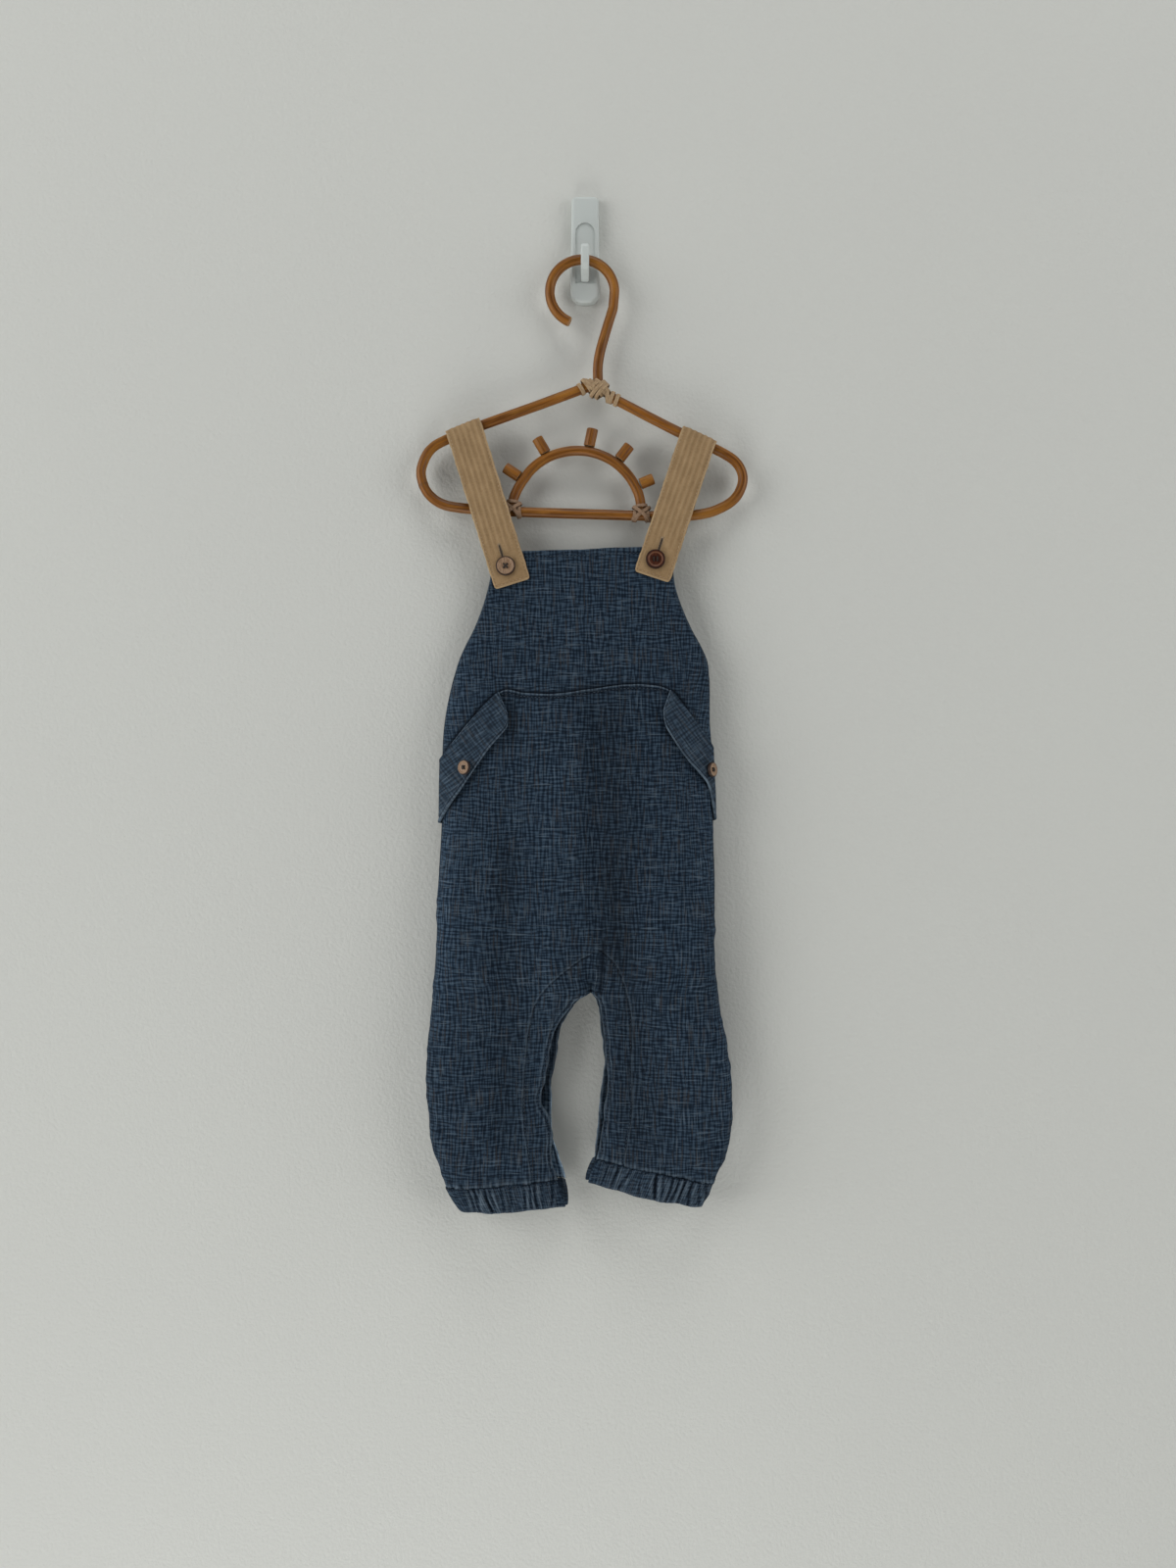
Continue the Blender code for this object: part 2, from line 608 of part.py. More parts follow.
def cylinder(name, radius, depth, sides, finish=None):
    made = bmesh.new()
    bmesh.ops.create_cone(made, cap_ends=True, segments=sides, radius1=radius * MM,
                          radius2=radius * MM, depth=depth * MM)
    return add_object(name, made, finish)


def as_cutter(thing):
    thing.hide_render = True
    thing.display_type = "WIRE"
    return thing


def combine(target, other, operation):
    modifier = target.modifiers.new(other.name, "BOOLEAN")
    modifier.operation = operation
    modifier.object = other
    modifier.solver = "EXACT"


def button_mesh(spec):
    """A turned button: flat back, rounded edge, raised rim and a shallow dish."""
    radius, thick, rim = spec["diameter"] / 2, spec["thick"], spec["rim"]
    profile = ((0.0, 0.0), (radius - 1.0, 0.0), (radius - 0.1, thick * 0.4), (radius - 0.3, thick * 0.8),
               (radius - rim / 2, thick), (radius - rim - 0.4, thick - 0.5), (0.0, thick - 0.7))
    sides = 20
    made = bmesh.new()
    rings = []
    for r, h in profile:
        angles = [2 * math.pi * k / sides for k in range(sides)] if r else [0.0]
        rings.append([made.verts.new(Vector((r * math.cos(a), r * math.sin(a), h)) * MM) for a in angles])
    for low, high in zip(rings, rings[1:]):
        for k in range(sides):
            corners = [low[k % len(low)], low[(k + 1) % sides % len(low)],
                       high[(k + 1) % sides % len(high)], high[k % len(high)]]
            made.faces.new(list(dict.fromkeys(corners)))
    return made


def make_button(name, spec, place, normal, finish):
    facing = Vector(normal).to_track_quat("Z", "Y").to_matrix().to_4x4()
    matrix = Matrix.Translation(Vector(place) * MM) @ facing
    button = add_object(name, button_mesh(spec), finish, 35)
    button.matrix_world = matrix
    for k in range(4):
        angle = math.radians(45 + 90 * k)
        hole = as_cutter(cylinder(f"{name}_hole_{k}", spec["hole"] / 2, 4 * spec["thick"], 8))
        reach = spec["spread"] * MM
        offset = Matrix.Translation((reach * math.cos(angle), reach * math.sin(angle), 0))
        hole.matrix_world = matrix @ offset
        combine(button, hole, "DIFFERENCE")


def make_strap_button(side, stations, finish):
    """The button lies on the strap's front run, tipped as the strap is."""
    x, z = STRAPS[side]["button"]
    centres = np.array([station[0] for station in stations[:STRAP_FRONT_STEPS]])
    reach = STRAP_BUTTON["diameter"] / 2
    low, high = (np.interp(at, centres[:, 2], centres[:, 1]) for at in (z - reach, z + reach))
    normal = np.array((0, -2 * reach, high - low))
    normal /= np.linalg.norm(normal)
    lift = STRAP_THICK / 2 + STRAP_RIB_HEIGHT + SEAM_GAP
    make_button(f"strap_button_{side}", STRAP_BUTTON, np.array((x, (low + high) / 2, z)) + normal * lift,
                normal, finish)


def make_hip_button(side):
    across, down = HIP_BUTTON_PLACES[side]
    place, normal = flap_point(side, across, down, FLAP_CLOTH + HIP_BUTTON_STAND[side])
    lean = Matrix.Rotation(math.radians(HIP_BUTTON_LEAN[side]), 3, "Z")
    make_button(f"hip_button_{side}", HIP_BUTTON, place, lean @ Vector(normal), "coconut")


def smooth_route(points, steps):
    """A Catmull-Rom line through the route's points."""
    points = [np.array(p, float) for p in points]
    padded = [2 * points[0] - points[1]] + points + [2 * points[-1] - points[-2]]
    line = []
    for a, b, c, d in zip(padded, padded[1:], padded[2:], padded[3:]):
        for k in range(steps):
            u = k / steps
            line.append(0.5 * (2 * b + (c - a) * u + (2 * a - 5 * b + 4 * c - d) * u * u
                               + (3 * b - a - 3 * c + d) * u ** 3))
    return line + [points[-1]]


def tube(name, route, radius, finish, sides=8):
    """A cane of one radius along a route of (x, z) in the hanger's plane, closed at both ends."""
    route = np.array(route, float)
    along = np.gradient(route, axis=0)
    along /= np.linalg.norm(along, axis=1)[:, None]
    made = bmesh.new()
    rings = []
    for (x, z), (dx, dz) in zip(route, along):
        ring = []
        for k in range(sides):
            angle = 2 * math.pi * (k + 0.5) / sides
            out, off = radius * math.cos(angle), radius * math.sin(angle)
            ring.append(made.verts.new(Vector((x - dz * out, HANGER_Y + off, z + dx * out)) * MM))
        rings.append(ring)
    for low, high in zip(rings, rings[1:]):
        for k in range(sides):
            made.faces.new((low[k], low[(k + 1) % sides], high[(k + 1) % sides], high[k]))
    made.faces.new(rings[0][::-1])
    made.faces.new(rings[-1])
    return add_object(name, made, finish)


def crook_route():
    line = []
    for degrees in np.linspace(CROOK_TIP_DEGREES, 0, 23):
        angle = math.radians(degrees)
        line.append((CROOK_CENTRE[0] + CROOK_RADIUS * math.cos(angle),
                     CROOK_CENTRE[1] + CROOK_RADIUS * math.sin(angle)))
    return line + smooth_route(CROOK_NECK, 3)


def make_hanger():
    tube("hanger_crook", crook_route(), CANE_RADIUS, "cane")
    tube("hanger_frame", smooth_route(FRAME_ROUTE, 3), CANE_RADIUS, "cane")
    tube("hanger_sun_arc", smooth_route(ARC_ROUTE, 2), ARC_CANE_RADIUS, "cane")
    for number, (x, z, degrees, length) in enumerate(RAYS, 1):
        angle = math.radians(degrees)
        ray = cylinder(f"hanger_ray_{number}", RAY_RADIUS, length, 12, "cane")
        ray.location = Vector((x - length / 2 * math.cos(angle), HANGER_Y,
                               z - length / 2 * math.sin(angle))) * MM
        ray.rotation_euler = (0, math.pi / 2 - angle, 0)


def stretch(route, start_x, end_x):
    """The part of a route between two x, from left to right."""
    return sorted((tuple(p) for p in route if start_x <= p[0] <= end_x), key=lambda p: p[0])


def make_binding(name, sleeves, canes):
    """Windings taken as one sleeve: the sleeves joined, then the canes' own room cut out of them."""
    body = tube(name, sleeves[0][0], sleeves[0][1] + BINDING_WALL, "binding", 12)
    for number, (route, radius) in enumerate(sleeves[1:]):
        other = as_cutter(tube(f"{name}_sleeve_{number}", route, radius + BINDING_WALL, None, 12))
        combine(body, other, "UNION")
    for number, (route, radius) in enumerate(canes):
        room = as_cutter(tube(f"{name}_room_{number}", route, radius + SEAM_GAP, None, 12))
        combine(body, room, "DIFFERENCE")


def make_bindings():
    frame = smooth_route(FRAME_ROUTE, 12)
    bar = [p for p in frame if p[1] < ARMS_ABOVE_Z]
    arms = [p for p in frame if p[1] > ARMS_ABOVE_Z]
    crook = crook_route()[-5:] + [(11.5, -132.0)]
    left_arm, right_arm = stretch(arms, NECK_ROOM_X[0], 4.5), stretch(arms, 20, NECK_ROOM_X[1])
    left_room, right_room = left_arm + [(12.0, -116.5)], [(12.0, -122.6)] + right_arm
    make_binding(
        "binding_neck",
        [(crook_route()[-3:] + [(11.5, -125.4)], CANE_RADIUS),
         ([p for p in left_arm if p[0] > NECK_SLEEVE_X[0]] + [(10.0, -117.3)], CANE_RADIUS),
         ([(11.0, -122.1)] + [p for p in right_arm if p[0] < NECK_SLEEVE_X[1]], CANE_RADIUS)],
        [(crook, CANE_RADIUS), (left_room, CANE_RADIUS), (right_room, CANE_RADIUS)])
    arc = smooth_route(ARC_ROUTE, 1)
    half = len(arc) // 2
    for side, from_foot in (("left", arc[:half]), ("right", arc[:half:-1])):
        foot_x, foot_z = from_foot[0]
        wound = stretch(bar, foot_x - ARC_SLEEVE_REACH, foot_x + ARC_SLEEVE_REACH)
        room = stretch(bar, foot_x - ARC_ROOM_REACH, foot_x + ARC_ROOM_REACH)
        below = [(foot_x, foot_z - ARC_SINK)]
        sleeve, arc_room = (below + [tuple(p) for p in from_foot if p[1] - foot_z <= rise]
                            for rise in (ARC_SLEEVE_RISE, ARC_ROOM_RISE))
        make_binding(f"binding_{side}", [(wound, CANE_RADIUS), (sleeve, ARC_CANE_RADIUS)],
                     [(room, CANE_RADIUS), (arc_room, ARC_CANE_RADIUS)])


def prism(name, outline, depth, to_place, finish, bevel, segments):
    """An outline pushed through a depth, with its edges rounded."""
    made = bmesh.new()
    near = [made.verts.new(to_place(a, b, 0.0)) for a, b in outline]
    far = [made.verts.new(to_place(a, b, depth)) for a, b in outline]
    made.faces.new(near)
    made.faces.new(far[::-1])
    for k in range(len(outline)):
        after = (k + 1) % len(outline)
        made.faces.new((near[k], near[after], far[after], far[k]))
    thing = add_object(name, made, finish, 40)
    if bevel:
        rounding = thing.modifiers.new("rounding", "BEVEL")
        rounding.width = bevel * MM
        rounding.segments = segments
        rounding.limit_method = "ANGLE"
        rounding.angle_limit = math.radians(60)
    return thing


def rounded_plate():
    """The hook plate's outline as (x, z): near straight at the top, a fuller curve at the foot."""
    half_top, half = HOOK_TOP_WIDTH / 2, HOOK_WIDTH / 2
    corners = ((half_top, HOOK_TOP, 4.0), (half, HOOK_FOOT, 10.0))
    (x1, z1, r1), (x2, z2, r2) = corners
    right = [(x1 - r1 + r1 * math.cos(a), z1 - r1 + r1 * math.sin(a))
             for a in np.linspace(math.pi / 2, 0, 5)]
    right += [(x2 - r2 + r2 * math.cos(a), z2 + r2 + r2 * math.sin(a))
              for a in np.linspace(0, -math.pi / 2, 7)]
    return right + [(-x, z) for x, z in reversed(right)]


def make_hook():
    def plate_place(x, z, depth):
        return Vector((x, -depth, z)) * MM

    plate = prism("hook_plate", rounded_plate(), HOOK_THICK, plate_place, "white plastic", 0, 0)
    front_edges = plate.modifiers.new("front rounding", "BEVEL")
    front_edges.width = 2.4 * MM
    front_edges.segments = 3
    front_edges.limit_method = "VGROUP"
    group = plate.vertex_groups.new(name="front")
    front = [v.index for v in plate.data.vertices if v.co.y < -HOOK_THICK * MM / 2]
    group.add(front, 1.0, "REPLACE")
    front_edges.vertex_group = "front"
    half = HOOK_ARCH["width"] / 2
    arch = [(half * math.cos(a), HOOK_ARCH["top"] - half + half * math.sin(a))
            for a in np.linspace(0, math.pi, 9)]
    arch += [(-half, HOOK_ARCH["foot"]), (half, HOOK_ARCH["foot"])]

    def arch_place(x, z, depth):
        return Vector((x, -(HOOK_THICK - HOOK_ARCH["depth"] + depth), z)) * MM

    recess = as_cutter(prism("hook_arch", arch, 4.0, arch_place, None, 0, 0))
    combine(plate, recess, "DIFFERENCE")

    def prong_place(y, z, depth):
        return Vector((depth - PRONG_WIDTH / 2, y, z)) * MM

    root = HOOK_THICK - HOOK_ARCH["depth"] + SEAM_GAP
    outline = [(max(y, -root) if y > -9 else y, z) for y, z in PRONG_OUTLINE]
    prism("hook_prong", outline, PRONG_WIDTH, prong_place, "white plastic", 1.3, 2)


def main():
    for old in list(bpy.data.objects):
        bpy.data.objects.remove(old, do_unlink=True)
    make_panels()
    strap_buttons = {"left": "coconut", "right": "dark coconut"}
    for side in ("left", "right"):
        make_flap(side)
        make_cuff(side)
        stations = make_strap(side)
        make_strap_button(side, stations, strap_buttons[side])
        make_hip_button(side)
    make_hanger()
    make_bindings()
    make_hook()


main()
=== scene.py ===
# Romper on a bent-cane hanger and a stick-on wall hook: fine shapes, finishes, light and camera.
# The wall is the plane y = 0 and the romper hangs in front of it. The tables are in millimetres.
import math

import bmesh
import bpy
import numpy as np
from mathutils import Matrix, Vector


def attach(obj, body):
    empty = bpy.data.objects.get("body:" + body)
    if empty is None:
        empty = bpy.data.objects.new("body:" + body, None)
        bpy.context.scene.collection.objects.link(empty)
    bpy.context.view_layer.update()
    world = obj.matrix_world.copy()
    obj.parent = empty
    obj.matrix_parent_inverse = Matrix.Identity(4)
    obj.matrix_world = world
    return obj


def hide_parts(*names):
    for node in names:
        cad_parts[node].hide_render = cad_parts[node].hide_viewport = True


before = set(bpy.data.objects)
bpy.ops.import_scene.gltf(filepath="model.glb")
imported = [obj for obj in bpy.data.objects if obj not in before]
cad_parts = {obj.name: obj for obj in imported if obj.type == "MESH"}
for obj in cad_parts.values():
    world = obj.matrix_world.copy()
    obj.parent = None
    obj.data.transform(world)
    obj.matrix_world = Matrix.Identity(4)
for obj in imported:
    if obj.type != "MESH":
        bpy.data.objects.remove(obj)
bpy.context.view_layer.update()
mm = 0.001
halves = ("left", "right")
print("frame loaded:", len(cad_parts), "nodes")


# Shader values as Python expressions

class Wire:
    def __init__(self, recipe, socket):
        self.recipe, self.socket = recipe, socket

    def combine(self, operation, first, second=0):
        return self.recipe.node("ShaderNodeMath", {"operation": operation}, {0: first, 1: second})

    def __add__(self, other): return self.combine("ADD", self, other)
    def __radd__(self, other): return self.combine("ADD", other, self)
    def __sub__(self, other): return self.combine("SUBTRACT", self, other)
    def __rsub__(self, other): return self.combine("SUBTRACT", other, self)
    def __mul__(self, other): return self.combine("MULTIPLY", self, other)
    def __rmul__(self, other): return self.combine("MULTIPLY", other, self)
    def __rpow__(self, other): return self.combine("POWER", other, self)
    def __abs__(self): return self.combine("ABSOLUTE", self)


class Recipe:
    def __init__(self, name, gloss=0.5):
        self.material = bpy.data.materials.new(name)
        self.material.use_nodes = True
        self.tree = self.material.node_tree
        self.shader = self.tree.nodes["Principled BSDF"]
        self.feed(self.shader, {"Specular IOR Level": gloss})

    def feed(self, node, values):
        for key, value in values.items():
            socket = node.inputs[key]
            if isinstance(value, Wire):
                self.tree.links.new(value.socket, socket)
            elif isinstance(value, tuple) and len(value) == 3 and socket.type == "RGBA":
                socket.default_value = (*value, 1)
            else:
                socket.default_value = value

    def node(self, kind, settings=None, values=None, out=0):
        made = self.tree.nodes.new(kind)
        for key, value in (settings or {}).items():
            if key == "stops":
                ramp = made.color_ramp
                while len(ramp.elements) < len(value):
                    ramp.elements.new(0.5)
                for element, (place, colour) in zip(ramp.elements, value):
                    element.position, element.color = place, (*colour, 1)
            else:
                setattr(made, key, value)
        self.feed(made, values or {})
        return Wire(self, made.outputs[out])

    def uv(self):
        return self.node("ShaderNodeUVMap", {"uv_map": "cloth"})

    def place(self):
        return self.node("ShaderNodeTexCoord", out="Object")

    def attribute(self, name, out="Fac"):
        return self.node("ShaderNodeAttribute", {"attribute_name": name}, out=out)

    def stretched(self, vector, scale):
        return self.node("ShaderNodeVectorMath", {"operation": "MULTIPLY"}, {0: vector, 1: scale})

    def noise(self, vector, scale=1, detail=2, roughness=0.5):
        values = {"Vector": vector, "Scale": scale, "Detail": detail, "Roughness": roughness}
        return self.node("ShaderNodeTexNoise", {}, values)

    def grained(self, vector, scale, detail=3, roughness=0.6):
        return self.noise(self.stretched(vector, scale), 1, detail, roughness)

    def flecks(self, uv, wide, high, detail=2, roughness=0.6):  # noise by the size of its flecks in millimetres
        return self.grained(uv, (1000 / wide, 1000 / high, 1), detail, roughness)

    def strands(self, vector, scale, shift, detail=1):  # noise less the same noise a little way off: no broad patches
        first = self.stretched(vector, scale)
        second = self.node("ShaderNodeVectorMath", {"operation": "ADD"}, {0: first, 1: shift})
        return self.noise(first, 1, detail) - self.noise(second, 1, detail) + 0.5

    def between(self, value, low, high):
        return self.node("ShaderNodeMapRange", {"interpolation_type": "SMOOTHSTEP"},
                         {"Value": value, "From Min": low, "From Max": high})

    def clamp(self, value):
        return self.node("ShaderNodeClamp", {}, {"Value": value})

    def wearShadeAndHighlightHalves(self):  # the paler half, wear with painted highlight, and the darker half, painted shade, that a mesh carries
        worn = self.attribute("worn")
        return self.clamp(worn), self.clamp(worn * -1)

    def mix(self, share, first, second):
        return self.node("ShaderNodeMix", {"data_type": "RGBA"}, {0: share, 6: first, 7: second}, out=2)

    def tint(self, colour, value):
        return self.node("ShaderNodeMix", {"data_type": "RGBA", "blend_type": "MULTIPLY"},
                         {0: 1, 6: colour, 7: value}, out=2)

    def bump(self, height, distance, strength=1):
        return self.node("ShaderNodeBump", {}, {"Height": height, "Distance": distance, "Strength": strength})

    def finish(self, colour, roughness, normal):
        self.feed(self.shader, {"Base Color": colour, "Roughness": roughness, "Normal": normal})
        return self.material


# The garment's form: the same sizes as the model's own source

garment = {
    # height, left and right outline, fullest front and back, side seam depth, half the armhole's gape
    "columns": ("z", "left", "right", "front", "back", "side", "armhole"),
    "rows": (
        (-254, -76, 73.2, -24.5, -7, -16.2, 7.3),
        (-292, -81.5, 76.3, -28, -6, -17, 7.5),
        (-325, -93, 89.2, -33, -5.5, -16.8, 5.8),
        (-345, -103.4, 100.2, -37, -5, -16.2, 2.8),
        (-353, -106.8, 103.5, -38.6, -4.9, -16.1, 1.4),
        (-366, -110.8, 105, -40.5, -4.8, -16, 0),
        (-407, -119, 105.6, -45, -4.5, -16.5, 0),
        (-440, -120.8, 108.4, -47.5, -4.5, -17, 0),
        (-489, -121, 108, -50, -4.5, -18, 0),
        (-538, -123.6, 109.4, -50, -4.5, -19, 0),
        (-604, -126, 109.2, -49, -4.5, -20, 0),
        (-653, -130, 115, -48, -4.5, -21, 0),
        (-686, -132.6, 120.4, -47.5, -4.5, -22, 0),
        (-719, -133, 122.8, -47, -4.5, -22.5, 0),
        (-752, -128.6, 122.4, -45, -5, -23, 0),
        (-768, -124.8, 118, -43.2, -5.5, -23, 0),
        (-784, -120.4, 109.6, -41, -6, -23, 0),
        (-812, -108, 99, -40, -6.5, -23, 0),
    ),
    "centreX": 5, "crotchZ": -632, "splitStarts": -420,
    "inseamY": {"front": -26, "back": -20.5}, "seamGap": 0.3, "backInset": 1.5, "underarmZ": -366,
    "valley": 11,   # half width of the soft valley between the legs, above the crotch
}
inseamTable = {
    "columns": ("z", "left_front", "left_back", "right_front", "right_back"),
    "rows": (
        (-632, 5, 5, 5, 5), (-637, -6, -3.5, 9.8, 8.8), (-645, -13, -10.5, 13, 11.6),
        (-656, -21.2, -18.4, 14.3, 12.6), (-670, -27.6, -21.6, 15.8, 14), (-692, -31.5, -25.4, 17.9, 15.4),
        (-708, -33.8, -27.6, 19.1, 14.6), (-724, -37.2, -27, 17.4, 13.3), (-736, -31, -26.8, 15.4, 12),
        (-752, -27.7, -26.4, 12.8, 10.2), (-768, -27.8, -22, 10.2, 8), (-790, -23.4, -17.4, 6, 3.4),
        (-812, -20, -14, 2, -1),
    ),
}
folds = {  # x and z at the top and the foot of each soft fold, half width, depth
    "front": (
        (11, -376, 9, -622, 9, 3.5), (-58, -372, -64, -515, 12, 2.6), (-66, -530, -70, -770, 11, 3.6),
        (42, -560, 46, -760, 15, 2.8), (74, -606, 80, -640, 9, 2.6), (116, -744, 84, -786, 6, 2.4),
        (-60, -752, -63, -792, 6, 2.2), (-30, -300, -36, -372, 16, 1.6),
    ),
    "back": (
        (-52, -400, -66, -700, 16, 1.6), (40, -430, 62, -740, 18, 1.8),
    ),
}
creases = {  # finer creases than the solids hold, in the same columns
    "front": (
        (-22, -395, -28, -470, 5, 0.7), (30, -390, 26, -500, 6, 0.8), (60, -470, 66, -590, 7, 0.8),
        (-92, -520, -98, -640, 6, 0.8), (-8, -560, 2, -626, 4, 0.8), (30, -585, 24, -625, 5, 0.8),
        (-30, -640, -62, -690, 5, 0.8), (-36, -712, -66, -742, 4.5, 0.9), (-84, -742, -88, -786, 4, 1),
        (-44, -760, -40, -788, 3.2, 1), (34, -742, 26, -772, 3.4, 1), (66, -752, 58, -780, 3.6, 1),
        (20, -668, 58, -700, 5, 0.7), (104, -690, 92, -742, 5, 0.8), (52, -300, 60, -345, 5, 0.6),
        (-64, -300, -80, -350, 6, 0.7), (0, -300, 4, -360, 9, 0.5),
    ),
    "back": (
        (-20, -300, -26, -390, 9, 0.8), (34, -320, 30, -420, 8, 0.8), (-90, -520, -98, -640, 8, 0.8),
        (88, -560, 94, -700, 8, 0.9), (-40, -720, -70, -770, 5, 0.9), (30, -700, 60, -764, 5, 0.9),
        (-10, -560, 2, -625, 5, 1),
    ),
}
pouchTable = {"share": (0, 0.14, 0.30, 0.38, 0.52, 0.72, 1),
              "left": (-433, -411, -386.4, -378.6, -380.2, -381.8, -377.4),
              "right": (-424, -407, -382, -376.8, -373.9, -374, -377.4)}
edges = {"bibTop": {"left": -261.7, "middle": -258.8, "right": -255.9},
         "backTop": {"left": -274, "middle": -271, "right": -272},
         "hem": {"left": (-793.4, -788.6), "right": (-789.4, -770.8)}}


def smoothCurve(stations, values, at):  # a cubic through a table's values, held at its ends
    s, v = np.array(stations, float), np.array(values, float)
    if s[0] > s[-1]:
        s, v = s[::-1], v[::-1]
    at = np.clip(at, s[0], s[-1])
    slopes = np.gradient(v, s)
    i = np.clip(np.searchsorted(s, at) - 1, 0, len(s) - 2)
    step = s[i + 1] - s[i]
    u = (at - s[i]) / step
    rise = v[i + 1] - v[i]
    a, b = slopes[i] * step - rise, rise - slopes[i + 1] * step
    return v[i] + u * rise + u * (1 - u) * (a * (1 - u) + b * u)


def tableColumn(table, name):
    place = table["columns"].index(name)
    return [row[place] for row in table["rows"]]


def bodySize(name, z):
    return smoothCurve(tableColumn(garment, "z"), tableColumn(garment, name), z)


def inseamX(side, face, z):
    below = smoothCurve(tableColumn(inseamTable, "z"), tableColumn(inseamTable, f"{side}_{face}"), z)
    return np.where(z >= garment["crotchZ"], garment["centreX"], below)


def ease(value, start, end):
    u = np.clip((value - start) / (end - start), 0.0, 1.0)
    return u * u * (3 - 2 * u)


def foldDepth(rows, x, z):
    total = np.zeros(np.broadcast(x, z).shape)
    for xTop, zTop, xFoot, zFoot, width, depth in rows:
        along = (zTop - z) / (zTop - zFoot)
        fade = ease(along, -0.25, 0.2) * ease(along, 1.25, 0.8)
        across = (x - xTop - (xFoot - xTop) * along) / width
        total = total + depth * fade * np.exp(-across * across)
    return total


def lengthAlong(points):  # the way from a line's start to each of its points
    return np.concatenate(([0], np.cumsum(np.linalg.norm(np.diff(points, axis=0), axis=1))))


def rowsAt(at, along, rows):  # a table's rows, each read off at a way along it
    return np.stack([np.interp(at, along, rows[:, k]) for k in range(rows.shape[1])], axis=-1)


def unit(rows):
    return rows / np.linalg.norm(rows, axis=-1, keepdims=True)


def outlineX(side, face, z):
    x = bodySize(side, z)
    if face == "back":
        inset = garment["backInset"] * ease(z, garment["underarmZ"], garment["underarmZ"] + 30)
        x = x + (inset if side == "left" else -inset)
    return x


def plainSurface(side, face, t, z):  # t is 0 at the side seam and 1 at the middle or the inner leg edge
    outerX, innerX = outlineX(side, face, z), inseamX(side, face, z)
    x = outerX + (innerX - outerX) * (1 - np.cos(np.pi * t / 2))
    rounded = garment["valley"] * ease(z, garment["crotchZ"] + 3, garment["crotchZ"] + 46) / np.abs(outerX - innerX)
    t = 2 / np.pi * np.arccos(np.minimum(np.sqrt(np.cos(np.pi * t / 2) ** 2 + rounded ** 2), 1.0))
    full, apart = bodySize(face, z), np.maximum(bodySize("armhole", z), 0.0) + garment["seamGap"] / 2
    edge = bodySize("side", z) + (-apart if face == "front" else apart)
    innerY = garment["inseamY"][face]
    split = ease(z, garment["splitStarts"], garment["crotchZ"])
    wholeBody = edge + (full - edge) * np.sin(np.pi * t / 2) ** 0.7
    bulge = np.maximum(np.sin(np.pi * t ** 0.9), 0.0) ** 0.62
    leg = edge + (innerY - edge) * t + (full - (edge + innerY) / 2) * bulge
    inward = 1 if face == "front" else -1
    rim = np.minimum(1.0, 4 * t) * (1 - split * ease(t, 0.8, 1.0))
    y = (1 - split) * wholeBody + split * leg + inward * foldDepth(folds[face], x, z) * rim
    return np.stack((x, y, z + 0 * x), axis=-1)


def plainNormal(side, face, t, z):
    step = 1e-3
    across = plainSurface(side, face, np.minimum(t + step, 1), z) - plainSurface(side, face, np.maximum(t - step, 0), z)
    up = plainSurface(side, face, t, z + 0.5) - plainSurface(side, face, t, z - 0.5)
    normal = np.cross(across, up)
    if (side, face) in (("right", "front"), ("left", "back")):
        normal = -normal
    return unit(normal)


def shareAcross(side, face, x, z):
    outerX, innerX = outlineX(side, face, z), inseamX(side, face, z)
    return 2 / np.pi * np.arccos(1 - np.clip((x - outerX) / (innerX - outerX), 0.0, 1.0))


def halfShare(t):
    return 1 - np.cos(np.pi * t / 2)


def pouchZ(side, t):
    return smoothCurve(pouchTable["share"], pouchTable[side], halfShare(t))


def levelZ(name, side, t):
    row = edges[name]
    return row[side] + (row["middle"] - row[side]) * halfShare(t)


def hemZ(side, t):
    outer, inner = edges["hem"][side]
    return outer + (inner - outer) * halfShare(t)


crumple = {"waves": 46, "longest": 70.0, "shortest": 5.5, "height": 0.26, "seed": 11}
crumpleRandom = np.random.default_rng(crumple["seed"])
crumpleLengths = np.geomspace(crumple["longest"], crumple["shortest"], crumple["waves"])
crumpleTurns = crumpleRandom.uniform(0, 2 * np.pi, crumple["waves"])
crumpleStarts = crumpleRandom.uniform(0, 2 * np.pi, crumple["waves"])


def crumpleHeight(x, z, shift=0.0):  # the cloth's uneven hand: waves of all lengths, bent by one another
    bentX = x + 3.5 * np.sin(z / 13.0 + 1.3 + shift) + 1.6 * np.sin(z / 5.1 + shift)
    bentZ = z + 3.5 * np.sin(x / 15.0 + 0.4 + shift) + 1.6 * np.sin(x / 6.3 + shift)
    total = np.zeros(np.broadcast(x, z).shape)
    for length, turn, start in zip(crumpleLengths, crumpleTurns, crumpleStarts):
        height = (length / crumple["longest"]) ** 0.85
        total += height * np.sin(2 * np.pi / length * (bentX * np.cos(turn) + bentZ * np.sin(turn)) + start + shift)
    return total * crumple["height"]


placket = {   # the curved stitch lines that hold the leg plackets' facings, as (x, z)
    "left": ((13.3, -595.6), (-1.5, -602.6), (-15.3, -612.2), (-29.2, -623.4), (-39.7, -638.2), (-44, -652),
             (-47.5, -676), (-50, -706), (-50.5, -735), (-47, -762), (-43.5, -786)),
    "right": ((13.3, -595.6), (21, -602.5), (27.1, -611.3), (31.5, -622.6), (35.9, -639.9), (38.2, -662),
              (37.4, -694.6), (38.3, -727.6), (35, -750), (31, -772)),
}


def distanceTo(line, x, z):
    best = np.full(np.broadcast(x, z).shape, 1e3)
    for (ax, az), (bx, bz) in zip(line, line[1:]):
        wayX, wayZ = bx - ax, bz - az
        along = np.clip(((x - ax) * wayX + (z - az) * wayZ) / (wayX ** 2 + wayZ ** 2), 0, 1)
        best = np.minimum(best, np.hypot(x - ax - wayX * along, z - az - wayZ * along))
    return best


